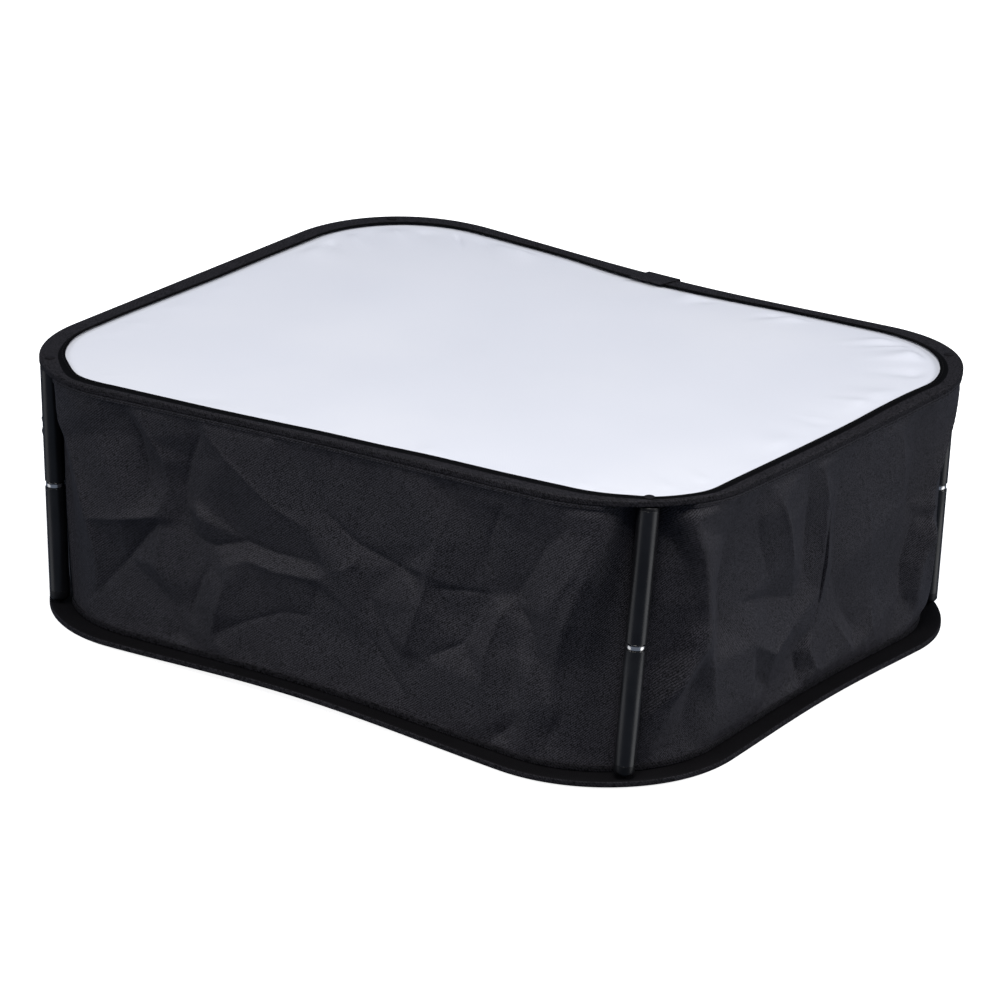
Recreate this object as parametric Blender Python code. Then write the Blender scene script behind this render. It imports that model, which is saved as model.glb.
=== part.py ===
"""Collapsible softbox for a flat light panel, lying on its back.

The white front diffuser faces +Z and the open rear rests on the floor at z = 0.
Two flexible loops, each a flat spring strip in a cloth sleeve, are held apart
by four two-piece rods that stand outside the loose cloth walls.
Lengths are in metres and angles in degrees.
"""
import math

import bmesh
import bpy
from mathutils import Matrix, Vector

# Loops: both share one rounded outline and differ in their corner radius
LOOP_WIDTH = 0.388
LOOP_DEPTH = 0.324
LOOP_SPACING = 0.1345
FRONT_CORNER_RADIUS = 0.071
REAR_CORNER_RADIUS = 0.078

# Sleeves: cloth folded round the strip, open towards the inside
SLEEVE_HEIGHT = 0.003
SLEEVE_CLOTH = 0.0005
FRONT_SLEEVE_TOP_WIDTH = 0.0095
FRONT_SLEEVE_UNDER_WIDTH = 0.0138
REAR_SLEEVE_WIDTH = 0.0130
OVERLAP_LENGTH = 0.024
OVERLAP_OFFSET = -0.010

# Spring strips inside the sleeves, each closed by a crimped clip
STRIP_WIDTH = 0.005
STRIP_THICKNESS = 0.0008
STRIP_END_GAP = 0.0008
CLIP_LENGTH = 0.014
CLIP_WALL = 0.0003
CLIP_CLEARANCE = 0.00015

# Rods: two tubes joined by a threaded stud with a bright collar
ROD_DIAMETER = 0.010
ROD_INSET = 0.005
TUBE_WALL = 0.001
LOWER_HALF_LENGTH = 0.0605
COLLAR_DIAMETER = 0.0092
COLLAR_HEIGHT = 0.002
SPIGOT_LENGTH = 0.009
FOOT_ROUND_HEIGHT = 0.00245
FOOT_FLAT_RADIUS = 0.002
PLUG_RIM = 0.001
HEAD_FILLET = 0.0008
HEAD_CLEARANCE = 0.0004
TUBE_CHAMFER = 0.0007

# Rivets that mark the rod seats on each loop
RIVET_HEAD_DIAMETER = 0.005
RIVET_HEAD_HEIGHT = 0.0005
RIVET_SHANK_DIAMETER = 0.0024

# Cloth
WALL_CLOTH = 0.0008
WALL_FRONT_INSET = 0.0018
WALL_REAR_INSET = 0.0113
WALL_CORNER_INSET = 0.0125
WALL_CORNER_DRAW = 0.003
WALL_SIDE_DRAW = 0.002
DRAW_ANGLE = 18.0
HEM_CLOTH = 0.0005
FRONT_HEM_HEIGHT = 0.002
REAR_HEM_HEIGHT = 0.003
SHEET_CLOTH = 0.0005
DIFFUSER_SAG = 0.0025

# Rear opening for the light, bound by a hem with an elastic inside
OPENING_WIDTH = 0.270
OPENING_DEPTH = 0.206
OPENING_RADIUS = 0.030
OPENING_HEIGHT = 0.003
OPENING_HEM_WIDTH = 0.010
ELASTIC_WIDTH = 0.005
ELASTIC_THICKNESS = 0.001

# Running gap between neighbouring solids
GAP = 0.0003

# Mesh density
LONG_STEPS = 6
SHORT_STEPS = 5
TUBE_SIDES = 16
SMALL_SIDES = 12
FOOT_STEPS = 3
SHOWN_WALL_ROWS = 10
HIDDEN_WALL_ROWS = 8
DIFFUSER_RINGS = (0.80, 0.50, 0.20)

CORNERS = {"near_left": (-1, -1), "near_right": (1, -1), "far_right": (1, 1), "far_left": (-1, 1)}

# How far each corner of the front loop has sprung from its nominal place
FRONT_CORNER_SHIFT = {
    "near_left": (-0.001, -0.0025, -0.005),
    "near_right": (0.002, 0.010, 0.0055),
    "far_right": (0.0, 0.0, 0.0),
    "far_left": (0.0, 0.0, 0.0),
}
LEVEL_CORNERS = {name: (0.0, 0.0, 0.0) for name in CORNERS}

# How far the middle of each side bows inwards, and dips towards the other loop
FRONT_BOW = {"near": 0.0015, "far": 0.0035, "left": 0.0, "right": 0.0025}
FRONT_DIP = {"near": -0.001, "far": 0.004, "left": 0.0, "right": 0.0035}
REAR_BOW = {"near": 0.0, "far": 0.0, "left": 0.0, "right": 0.0}
REAR_DIP = {"near": 0.0055, "far": 0.0055, "left": 0.004, "right": 0.004}

# 0 spreads a bow or dip evenly along its side, 1 gathers it at the side's middle
FRONT_GATHERING = 0.5
REAR_GATHERING = 1.0

# Main folds of the walls. Each is a straight crease from one point to another:
# place along the side from its middle, height above the floor, depth inwards, half width
NEAR_FOLDS = [
    ((-0.098, 0.125), (-0.078, 0.080), 0.0050, 0.012),
    ((-0.064, 0.080), (-0.066, 0.045), -0.0035, 0.009),
    ((-0.049, 0.087), (-0.020, 0.030), 0.0040, 0.012),
    ((0.025, 0.105), (0.030, 0.050), -0.0035, 0.014),
    ((0.077, 0.063), (0.116, 0.080), 0.0035, 0.010),
    ((0.124, 0.120), (0.108, 0.060), 0.0050, 0.010),
]
RIGHT_FOLDS = [
    ((-0.112, 0.125), (-0.103, 0.066), -0.0040, 0.008),
    ((-0.103, 0.066), (-0.125, 0.020), -0.0040, 0.008),
    ((-0.090, 0.115), (-0.086, 0.030), 0.0045, 0.009),
    ((-0.058, 0.110), (-0.052, 0.020), -0.0030, 0.010),
    ((0.000, 0.100), (0.015, 0.025), 0.0035, 0.014),
    ((0.060, 0.110), (0.075, 0.030), -0.0030, 0.012),
]
FAR_FOLDS = [
    ((-0.100, 0.110), (-0.070, 0.050), 0.0045, 0.014),
    ((-0.010, 0.100), (-0.030, 0.040), -0.0035, 0.014),
    ((0.080, 0.110), (0.100, 0.040), 0.0045, 0.014),
]
LEFT_FOLDS = [
    ((-0.070, 0.110), (-0.050, 0.040), 0.0040, 0.014),
    ((0.040, 0.105), (0.060, 0.040), -0.0035, 0.014),
]

REAR_Z = RIVET_HEAD_HEIGHT + GAP
FRONT_Z = REAR_Z + LOOP_SPACING - SLEEVE_HEIGHT
STRIP_LOW = (SLEEVE_HEIGHT - STRIP_THICKNESS) / 2
STRIP_IN = ROD_INSET + STRIP_WIDTH / 2
SHEET_TUCK = STRIP_IN + CLIP_CLEARANCE + CLIP_WALL + GAP
FOOT_SWEEP = math.hypot(ROD_DIAMETER / 2, FOOT_ROUND_HEIGHT)
TUBE_BORE = ROD_DIAMETER / 2 - TUBE_WALL
SPIGOT_RADIUS = TUBE_BORE - GAP


class Station:
    """A point of a rounded outline, with the unit direction towards the inside."""

    def __init__(self, x, y, nx, ny, off_rod):
        self.x = x
        self.y = y
        self.nx = nx
        self.ny = ny
        self.off_rod = off_rod

    def at(self, inset):
        return self.x + self.nx * inset, self.y + self.ny * inset

    def moved(self, along):
        """The same station moved along the outline, anticlockwise seen from above."""
        return Station(self.x + self.ny * along, self.y - self.nx * along, self.nx, self.ny, self.off_rod)


class Loop:
    """One sprung loop: its outline, and the way that it bows and dips."""

    def __init__(self, radius, z, shift, bow, dip, gathering, dip_sign):
        self.radius = radius
        self.z = z
        self.shift = shift
        self.bow = bow
        self.dip = dip
        self.gathering = gathering
        self.dip_sign = dip_sign

    def profile(self, s):
        left = 1 - min(s * s, 1.0)
        return (1 - self.gathering) * left + self.gathering * left ** 4

    def place(self, x, y, height):
        """The real place of a point that lies at x, y on the flat loop."""
        u = x / (LOOP_WIDTH / 2)
        v = y / (LOOP_DEPTH / 2)
        point = Vector((x, y, self.z + height))
        for name, (sx, sy) in CORNERS.items():
            point += Vector(self.shift[name]) * ((1 + sx * u) * (1 + sy * v) / 4)
        along_u = self.profile(u)
        along_v = self.profile(v)
        weight = {
            "near": along_u * max(-v, 0.0) ** 5,
            "far": along_u * max(v, 0.0) ** 5,
            "left": along_v * max(-u, 0.0) ** 5,
            "right": along_v * max(u, 0.0) ** 5,
        }
        point.y += self.bow["near"] * weight["near"] - self.bow["far"] * weight["far"]
        point.x += self.bow["left"] * weight["left"] - self.bow["right"] * weight["right"]
        point.z += self.dip_sign * sum(self.dip[side] * weight[side] for side in weight)
        return point


FRONT = Loop(FRONT_CORNER_RADIUS, FRONT_Z, FRONT_CORNER_SHIFT, FRONT_BOW, FRONT_DIP, FRONT_GATHERING, -1)
REAR = Loop(REAR_CORNER_RADIUS, REAR_Z, LEVEL_CORNERS, REAR_BOW, REAR_DIP, REAR_GATHERING, 1)


def half_arc_angles():
    """Angles from the rod at a corner's middle to the corner's end."""
    rest = 45.0 - DRAW_ANGLE
    return [0.0, DRAW_ANGLE / 2, DRAW_ANGLE, DRAW_ANGLE + rest / 2, 45.0]


def side_stations(width, depth, radius, side, steps, split=0.0):
    """Stations of one side, anticlockwise, from one corner's middle to the next."""
    turn = {"near": 0, "right": 90, "far": 180, "left": 270}[side]
    half_run = (width if side in ("near", "far") else depth) / 2 - radius
    half_off = (depth if side in ("near", "far") else width) / 2
    found = []

    def add(run, angle, off_rod):
        down = math.radians(angle)
        x = run + radius * math.sin(down)
        y = -(half_off - radius) - radius * math.cos(down)
        spun = Matrix.Rotation(math.radians(turn), 2)
        place = spun @ Vector((x, y))
        inward = spun @ Vector((-math.sin(down), math.cos(down)))
        found.append(Station(place.x, place.y, inward.x, inward.y, off_rod))

    for angle in half_arc_angles():
        add(-half_run, angle - 45.0, angle)
    first = steps // 2
    for i in range(1, steps):
        if i <= first:
            run = -half_run + (split + half_run) * i / first
        else:
            run = split + (half_run - split) * (i - first) / (steps - first)
        add(run, 0.0, 45.0)
    for angle in reversed(half_arc_angles()):
        add(half_run, 45.0 - angle, angle)
    return found


def outline(width, depth, radius):
    """Stations all the way round, and the index of the one where the strip's ends meet."""
    found = []
    split_at = 0
    for side in ("near", "right", "far", "left"):
        steps = LONG_STEPS if side in ("near", "far") else SHORT_STEPS
        # the far side runs towards -X, so its split is measured the other way
        split = -OVERLAP_OFFSET if side == "far" else 0.0
        run = side_stations(width, depth, radius, side, steps, split)
        if side == "far":
            split_at = len(found) + len(half_arc_angles()) - 1 + steps // 2
        found += run[:-1]
    return found, split_at


def loop_outline(loop):
    return outline(LOOP_WIDTH, LOOP_DEPTH, loop.radius)


def material(name, colour, roughness, metallic=0.0):
    made = bpy.data.materials.new(name)
    made.use_nodes = True
    shader = made.node_tree.nodes["Principled BSDF"]
    shader.inputs["Base Color"].default_value = (*colour, 1.0)
    shader.inputs["Roughness"].default_value = roughness
    shader.inputs["Metallic"].default_value = metallic
    return made


LOOKS = {
    "black_cloth": ((0.012, 0.012, 0.014), 0.8, 0.0),
    "black_binding": ((0.008, 0.008, 0.009), 0.85, 0.0),
    "white_cloth": ((0.80, 0.82, 0.88), 0.7, 0.0),
    "spring_steel": ((0.35, 0.35, 0.36), 0.35, 1.0),
    "black_tube": ((0.015, 0.015, 0.017), 0.35, 0.4),
    "bright_metal": ((0.80, 0.79, 0.77), 0.12, 1.0),
    "black_plug": ((0.012, 0.012, 0.013), 0.5, 0.0),
    "elastic": ((0.02, 0.02, 0.02), 0.9, 0.0),
}


def finish(name, bm, look, smooth_angle=None):
    """Turn a bmesh into a named object with its own material."""
    bmesh.ops.recalc_face_normals(bm, faces=bm.faces)
    mesh = bpy.data.meshes.new(name)
    bm.to_mesh(mesh)
    bm.free()
    mesh.materials.append(material(name, *LOOKS[look]))
    if smooth_angle is not None:
        mesh.shade_smooth()
        mesh.set_sharp_from_angle(angle=math.radians(smooth_angle))
    made = bpy.data.objects.new(name, mesh)
    bpy.context.collection.objects.link(made)
    return made


def sweep(name, rings, look, closed):
    """Join rings of points, one ring a station, into a closed tube or a capped bar."""
    bm = bmesh.new()
    rows = [[bm.verts.new(point) for point in ring] for ring in rings]
    count = len(rows[0])
    last = len(rows) if closed else len(rows) - 1
    for i in range(last):
        here = rows[i]
        there = rows[(i + 1) % len(rows)]
        for k in range(count):
            m = (k + 1) % count
            bm.faces.new((here[k], here[m], there[m], there[k]))
    if not closed:
        bm.faces.new(rows[0])
        bm.faces.new(list(reversed(rows[-1])))
    return finish(name, bm, look, 40.0)


def section_rings(loop, stations, section):
    rings = []
    for station in stations:
        rings.append([loop.place(*station.at(inset), height) for inset, height in section])
    return rings


def fold_section(outer_width, inner_width, height, cloth):
    """A cloth folded into a U that opens towards the inside: lower layer, then upper."""
    return [
        (0.0, 0.0),
        (outer_width, 0.0),
        (outer_width, cloth),
        (cloth, cloth),
        (cloth, height - cloth),
        (inner_width, height - cloth),
        (inner_width, height),
        (0.0, height),
    ]


def rectangle(inset, width, low, height):
    return [(inset, low), (inset + width, low), (inset + width, low + height), (inset, low + height)]


def turned(name, profile, look, sides):
    """Spin a profile of (radius, height) points round Z; radius 0 closes it on the axis."""
    bm = bmesh.new()
    rows = []
    for radius, height in profile:
        if radius == 0:
            rows.append([bm.verts.new((0.0, 0.0, height))])
            continue
        ring = []
        for k in range(sides):
            angle = 2 * math.pi * k / sides
            ring.append(bm.verts.new((radius * math.cos(angle), radius * math.sin(angle), height)))
        rows.append(ring)
    closed = all(radius > 0 for radius, height in profile)
    pairs = list(zip(rows, rows[1:]))
    if closed:
        pairs.append((rows[-1], rows[0]))
    for here, there in pairs:
        for k in range(sides):
            m = (k + 1) % sides
            corners = [here[k % len(here)], here[m % len(here)], there[m % len(there)], there[k % len(there)]]
            bm.faces.new(list(dict.fromkeys(corners)))
    return finish(name, bm, look, 35.0)


def rod_seats(corner):
    """Where a rod's axis meets the rear sleeve's top and the front sleeve's underside."""
    sx, sy = CORNERS[corner]
    found = []
    for loop, height in ((REAR, SLEEVE_HEIGHT), (FRONT, 0.0)):
        reach = (loop.radius - ROD_INSET) / math.sqrt(2)
        x = sx * (LOOP_WIDTH / 2 - loop.radius + reach)
        y = sy * (LOOP_DEPTH / 2 - loop.radius + reach)
        found.append(loop.place(x, y, height))
    return found


def cut_rivet_holes(target, loop):
    """Cut the holes that the rivets of one loop pass through."""
    for corner in CORNERS:
        rear_seat, front_seat = rod_seats(corner)
        seat = rear_seat if loop is REAR else front_seat
        radius = RIVET_SHANK_DIAMETER / 2 + GAP
        low = REAR_Z - SLEEVE_HEIGHT if loop is REAR else seat.z + STRIP_LOW - CLIP_WALL
        high = seat.z - STRIP_LOW + CLIP_WALL if loop is REAR else seat.z + 2 * SLEEVE_HEIGHT
        hole = turned(
            f"hole_{target.name}_{corner}",
            [(0, high - low), (radius, high - low), (radius, 0), (0, 0)],
            "black_plug",
            SMALL_SIDES,
        )
        hole.location = (seat.x, seat.y, low)
        hole.hide_render = True
        hole.display_type = "WIRE"
        cut = target.modifiers.new(f"hole_{corner}", "BOOLEAN")
        cut.operation = "DIFFERENCE"
        cut.solver = "EXACT"
        cut.object = hole


def make_rivet(corner, end):
    """A rivet whose head lies outside its loop and whose shank holds the strip."""
    rear_seat, front_seat = rod_seats(corner)
    head = RIVET_HEAD_DIAMETER / 2
    shank = RIVET_SHANK_DIAMETER / 2
    grip = GAP + SLEEVE_HEIGHT - STRIP_LOW + CLIP_WALL
    profile = [
        (0, RIVET_HEAD_HEIGHT + grip),
        (shank, RIVET_HEAD_HEIGHT + grip),
        (shank, RIVET_HEAD_HEIGHT),
        (head, RIVET_HEAD_HEIGHT),
        (head, RIVET_HEAD_HEIGHT / 2),
        (head - RIVET_HEAD_HEIGHT / 2, 0),
        (0, 0),
    ]
    rivet = turned(f"{corner}_{end}_rivet", profile, "black_plug", SMALL_SIDES)
    if end == "rear":
        rivet.location = (rear_seat.x, rear_seat.y, 0.0)
    else:
        rivet.rotation_euler = (math.pi, 0.0, 0.0)
        rivet.location = front_seat + Vector((0, 0, SLEEVE_HEIGHT + GAP + RIVET_HEAD_HEIGHT))
    return rivet


def make_rod(corner):
    """Foot plug, lower tube, stud, upper tube and head plug of one rod.

    The first empty is where the rod swings on its foot, the second where the
    upper half turns on the stud.
    """
    rear_seat, front_seat = rod_seats(corner)
    axis = (front_seat - rear_seat).normalized()
    length = (front_seat - rear_seat).length
    radius = ROD_DIAMETER / 2
    pivot_up = FOOT_SWEEP + GAP
    stud_up = LOWER_HALF_LENGTH + COLLAR_HEIGHT / 2
    head_up = length - HEAD_CLEARANCE

    pivot = bpy.data.objects.new(f"{corner}_pivot", None)
    pivot.rotation_mode = "QUATERNION"
    pivot.rotation_quaternion = Vector((0, 0, 1)).rotation_difference(axis)
    pivot.location = rear_seat + axis * pivot_up
    bpy.context.collection.objects.link(pivot)
    twist = bpy.data.objects.new(f"{corner}_twist", None)
    twist.parent = pivot
    twist.location = (0.0, 0.0, stud_up - pivot_up)
    bpy.context.collection.objects.link(twist)

    foot_flat = -math.sqrt(FOOT_SWEEP ** 2 - FOOT_FLAT_RADIUS ** 2)
    round_from = math.atan2(FOOT_ROUND_HEIGHT, radius)
    round_to = math.atan2(-foot_flat, FOOT_FLAT_RADIUS)
    foot = [(0, PLUG_RIM + SPIGOT_LENGTH), (SPIGOT_RADIUS, PLUG_RIM + SPIGOT_LENGTH)]
    foot += [(SPIGOT_RADIUS, PLUG_RIM), (radius, PLUG_RIM)]
    for i in range(FOOT_STEPS + 1):
        angle = round_from + (round_to - round_from) * i / FOOT_STEPS
        foot.append((FOOT_SWEEP * math.cos(angle), -FOOT_SWEEP * math.sin(angle)))
    foot.append((0, foot_flat))
    turned(f"{corner}_foot_plug", foot, "black_plug", TUBE_SIDES).parent = pivot

    low = PLUG_RIM + GAP
    high = stud_up - pivot_up - COLLAR_HEIGHT / 2 - GAP
    lower = [(TUBE_BORE, high), (radius - GAP, high), (radius, high - GAP), (radius, low), (TUBE_BORE, low)]
    turned(f"{corner}_lower_tube", lower, "black_tube", TUBE_SIDES).parent = pivot

    collar = COLLAR_DIAMETER / 2
    reach = COLLAR_HEIGHT / 2 + SPIGOT_LENGTH
    stud = [(0, reach), (SPIGOT_RADIUS - GAP, reach), (SPIGOT_RADIUS, reach - GAP)]
    stud += [(SPIGOT_RADIUS, COLLAR_HEIGHT / 2), (collar - GAP, COLLAR_HEIGHT / 2), (collar, COLLAR_HEIGHT / 4)]
    stud += [(r, -z) for r, z in reversed(stud)]
    made = turned(f"{corner}_joint_stud", stud, "bright_metal", TUBE_SIDES)
    made.parent = pivot
    made.location = twist.location

    low = COLLAR_HEIGHT / 2 + GAP
    high = head_up - stud_up - PLUG_RIM - HEAD_FILLET - GAP
    upper = [(TUBE_BORE, high), (radius, high), (radius, low + TUBE_CHAMFER), (radius - TUBE_CHAMFER, low)]
    upper.append((TUBE_BORE, low))
    turned(f"{corner}_upper_tube", upper, "black_tube", TUBE_SIDES).parent = twist

    top = head_up - stud_up
    head = [(0, top), (radius - HEAD_FILLET, top), (radius, top - HEAD_FILLET)]
    head += [(radius, high + GAP), (SPIGOT_RADIUS, high + GAP)]
    head += [(SPIGOT_RADIUS, high - SPIGOT_LENGTH), (0, high - SPIGOT_LENGTH)]
    turned(f"{corner}_head_plug", head, "black_plug", TUBE_SIDES).parent = twist


def make_sleeves():
    for name, loop, section in (
        ("front_sleeve", FRONT, fold_section(
            FRONT_SLEEVE_UNDER_WIDTH, FRONT_SLEEVE_TOP_WIDTH, SLEEVE_HEIGHT, SLEEVE_CLOTH)),
        ("rear_sleeve", REAR, fold_section(
            REAR_SLEEVE_WIDTH, REAR_SLEEVE_WIDTH, SLEEVE_HEIGHT, SLEEVE_CLOTH)),
    ):
        stations, split_at = loop_outline(loop)
        made = sweep(name, section_rings(loop, stations, section), "black_binding", True)
        cut_rivet_holes(made, loop)


def make_overlap():
    """The place on the far side where the front sleeve's ends lap over each other."""
    stations, split_at = loop_outline(FRONT)
    middle = stations[split_at]
    run = [middle.moved(OVERLAP_LENGTH * k / 4) for k in (-2, -1, 0, 1, 2)]
    out = -GAP
    top = SLEEVE_HEIGHT + GAP
    cloth = SLEEVE_CLOTH
    section = [
        (out, 0.0),
        (out, top),
        (FRONT_SLEEVE_TOP_WIDTH, top),
        (FRONT_SLEEVE_TOP_WIDTH, top + cloth),
        (out - cloth, top + cloth),
        (out - cloth, 0.0),
    ]
    sweep("front_sleeve_overlap", section_rings(FRONT, run, section), "black_binding", False)


def make_strips():
    """Flat spring strips, and the clip that joins each strip's ends."""
    for name, loop in (("front", FRONT), ("rear", REAR)):
        stations, split_at = loop_outline(loop)
        middle = stations[split_at]
        run = [middle.moved(STRIP_END_GAP / 2)]
        run += stations[split_at + 1:] + stations[:split_at]
        run.append(middle.moved(-STRIP_END_GAP / 2))
        section = rectangle(STRIP_IN - STRIP_WIDTH, STRIP_WIDTH, STRIP_LOW, STRIP_THICKNESS)
        strip = sweep(f"{name}_strip", section_rings(loop, run, section), "spring_steel", False)
        cut_rivet_holes(strip, loop)

        spare = CLIP_CLEARANCE + CLIP_WALL
        clip = fold_section(STRIP_WIDTH + spare, STRIP_WIDTH + spare, STRIP_THICKNESS + 2 * spare, CLIP_WALL)
        shift_in = STRIP_IN - STRIP_WIDTH - spare
        clip = [(shift_in + inset, STRIP_LOW - spare + height) for inset, height in clip]
        ends = [middle.moved(CLIP_LENGTH * k / 2) for k in (-1, 0, 1)]
        sweep(f"{name}_strip_clip", section_rings(loop, ends, clip), "bright_metal", False)


def corner_share(off_rod):
    """1 behind a rod, falling to 0 where the wall is free of it."""
    return max(0.0, 1.0 - off_rod / DRAW_ANGLE)


def wall_ends(rear, front):
    """Bottom and top of the wall's outer face at one pair of stations."""
    share = corner_share(rear.off_rod)
    low = REAR.place(*rear.at(WALL_REAR_INSET), SLEEVE_HEIGHT + GAP)
    inset = WALL_FRONT_INSET + (WALL_CORNER_INSET - WALL_FRONT_INSET) * share
    high = FRONT.place(*front.at(inset), -GAP)
    return low, high


def fold_depth(folds, along, height):
    """How far the main folds push the cloth inwards at one place."""
    total = 0.0
    here = Vector((along, height))
    for start, end, depth, half_width in folds:
        a = Vector(start)
        b = Vector(end)
        run = b - a
        share = min(1.0, max(0.0, (here - a).dot(run) / run.length_squared))
        off = (here - a - run * share).length / half_width
        total += depth * math.exp(-off * off)
    return total


def make_wall(side, steps, rows, folds):
    """One loose side wall, drawn in behind the rods at both of its ends."""
    rear_run = side_stations(LOOP_WIDTH, LOOP_DEPTH, REAR.radius, side, steps)
    front_run = side_stations(LOOP_WIDTH, LOOP_DEPTH, FRONT.radius, side, steps)
    rear_run[0] = rear_run[0].moved(GAP / 2)
    front_run[0] = front_run[0].moved(GAP / 2)
    rear_run[-1] = rear_run[-1].moved(-GAP / 2)
    front_run[-1] = front_run[-1].moved(-GAP / 2)
    outward = {"near": (1, 0), "right": (0, 1), "far": (-1, 0), "left": (0, -1)}[side]
    along_axis = Vector((outward[0], outward[1], 0))
    bm = bmesh.new()
    faces = []
    for depth in (0.0, WALL_CLOTH):
        grid = []
        for rear, front in zip(rear_run, front_run):
            low, high = wall_ends(rear, front)
            share = corner_share(rear.off_rod)
            inward = Vector((rear.nx, rear.ny, 0))
            column = []
            for k in range(rows + 1):
                t = k / rows
                belly = math.sin(math.pi * t)
                place = low.lerp(high, t)
                draw = (WALL_CORNER_DRAW * share + WALL_SIDE_DRAW * (1 - share)) * belly
                draw += fold_depth(folds, place.dot(along_axis), place.z) * belly * (1 - share)
                column.append(bm.verts.new(place + inward * (draw + depth)))
            grid.append(column)
        faces.append(grid)
    outer, inner = faces
    for grid in faces:
        for i in range(len(grid) - 1):
            for k in range(rows):
                bm.faces.new((grid[i][k], grid[i + 1][k], grid[i + 1][k + 1], grid[i][k + 1]))
    for i in range(len(outer) - 1):
        for k in (0, rows):
            bm.faces.new((outer[i][k], outer[i + 1][k], inner[i + 1][k], inner[i][k]))
    for i in (0, len(outer) - 1):
        for k in range(rows):
            bm.faces.new((outer[i][k], outer[i][k + 1], inner[i][k + 1], inner[i][k]))
    finish(f"{side}_wall", bm, "black_cloth", 30.0)


def make_hems():
    """Seam tapes sewn on the walls' outer face along both loops."""
    rear_stations, split_at = loop_outline(REAR)
    front_stations, split_at = loop_outline(FRONT)
    rear_rings = []
    front_rings = []
    for rear, front in zip(rear_stations, front_stations):
        low, high = wall_ends(rear, front)
        out = Vector((-rear.nx, -rear.ny, 0))
        near_face = out * GAP
        far_face = out * (GAP + HEM_CLOTH)
        rise = Vector((0, 0, REAR_HEM_HEIGHT))
        drop = Vector((0, 0, FRONT_HEM_HEIGHT))
        rear_rings.append([low + near_face, low + near_face + rise, low + far_face + rise, low + far_face])
        front_rings.append([high + near_face, high + near_face - drop, high + far_face - drop, high + far_face])
    sweep("rear_hem", rear_rings, "black_binding", True)
    sweep("front_hem", front_rings, "black_binding", True)


def sheet_between(name, lower_rings, look, hole):
    """A cloth from its outermost ring of points to its innermost, given on its lower face."""
    bm = bmesh.new()
    up = Vector((0, 0, SHEET_CLOTH))
    layers = []
    for lift in (Vector((0, 0, 0)), up):
        layers.append([[bm.verts.new(point + lift) for point in ring] for ring in lower_rings])
    count = len(lower_rings[0])
    for rows in layers:
        for here, there in zip(rows, rows[1:]):
            for k in range(count):
                m = (k + 1) % count
                bm.faces.new((here[k], here[m], there[m], there[k]))
        if not hole:
            middle = sum((vert.co for vert in rows[-1]), Vector()) / count
            hub = bm.verts.new(middle)
            for k in range(count):
                bm.faces.new((rows[-1][k], rows[-1][(k + 1) % count], hub))
    edges = [0, -1] if hole else [0]
    for row in edges:
        for k in range(count):
            m = (k + 1) % count
            bm.faces.new((layers[0][row][k], layers[0][row][m], layers[1][row][m], layers[1][row][k]))
    return finish(name, bm, look, 30.0)


def make_diffuser():
    """The white front cloth, its edge tucked into the front sleeve's mouth."""
    stations, split_at = loop_outline(FRONT)
    height = SLEEVE_CLOTH + GAP
    rim = [Vector(station.at(SHEET_TUCK)) for station in stations]
    mouth = [Vector(station.at(FRONT_SLEEVE_UNDER_WIDTH + GAP)) for station in stations]
    rings = [rim, mouth]
    for share in DIFFUSER_RINGS:
        rings.append([point * share for point in mouth])
    placed = []
    for ring in rings:
        row = []
        for point in ring:
            u = point.x / (LOOP_WIDTH / 2)
            v = point.y / (LOOP_DEPTH / 2)
            sag = DIFFUSER_SAG * ((1 - u * u) * (1 - v * v)) ** 2
            row.append(FRONT.place(point.x, point.y, height - sag))
        placed.append(row)
    sheet_between("diffuser", placed, "white_cloth", False)


def make_back():
    """Rear cloth, the hem that binds its opening, and the elastic inside that hem."""
    stations, split_at = loop_outline(REAR)
    opening, split_at = outline(OPENING_WIDTH, OPENING_DEPTH, OPENING_RADIUS)
    hem_height = 2 * SLEEVE_CLOTH + 2 * GAP + ELASTIC_THICKNESS
    elastic_in = SLEEVE_CLOTH + GAP
    sheet_in = elastic_in + ELASTIC_WIDTH + GAP
    mid = (SLEEVE_HEIGHT - SHEET_CLOTH) / 2
    tuck = [REAR.place(*station.at(SHEET_TUCK), mid) for station in stations]
    mouth = [REAR.place(*station.at(REAR_SLEEVE_WIDTH + GAP), mid) for station in stations]
    level = OPENING_HEIGHT + (hem_height - SHEET_CLOTH) / 2
    hem_mouth = [Vector((*station.at(-OPENING_HEM_WIDTH - GAP), level)) for station in opening]
    hem_tuck = [Vector((*station.at(-sheet_in), level)) for station in opening]
    sheet_between("back_panel", [tuck, mouth, hem_mouth, hem_tuck], "black_cloth", True)

    def flat_rings(section):
        return [[Vector((*s.at(inset), OPENING_HEIGHT + z)) for inset, z in section] for s in opening]

    hem = fold_section(OPENING_HEM_WIDTH, OPENING_HEM_WIDTH, hem_height, SLEEVE_CLOTH)
    sweep("opening_hem", flat_rings([(-inset, z) for inset, z in hem]), "black_binding", True)
    band = rectangle(-elastic_in - ELASTIC_WIDTH, ELASTIC_WIDTH, SLEEVE_CLOTH + GAP, ELASTIC_THICKNESS)
    sweep("opening_elastic", flat_rings(band), "elastic", True)


def main():
    for old in list(bpy.data.objects):
        bpy.data.objects.remove(old, do_unlink=True)
    make_sleeves()
    make_overlap()
    make_strips()
    make_hems()
    make_diffuser()
    make_back()
    make_wall("near", 22, SHOWN_WALL_ROWS, NEAR_FOLDS)
    make_wall("right", 18, SHOWN_WALL_ROWS, RIGHT_FOLDS)
    make_wall("far", 12, HIDDEN_WALL_ROWS, FAR_FOLDS)
    make_wall("left", 10, HIDDEN_WALL_ROWS, LEFT_FOLDS)
    for corner in CORNERS:
        make_rod(corner)
        make_rivet(corner, "rear")
        make_rivet(corner, "front")


main()
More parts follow.
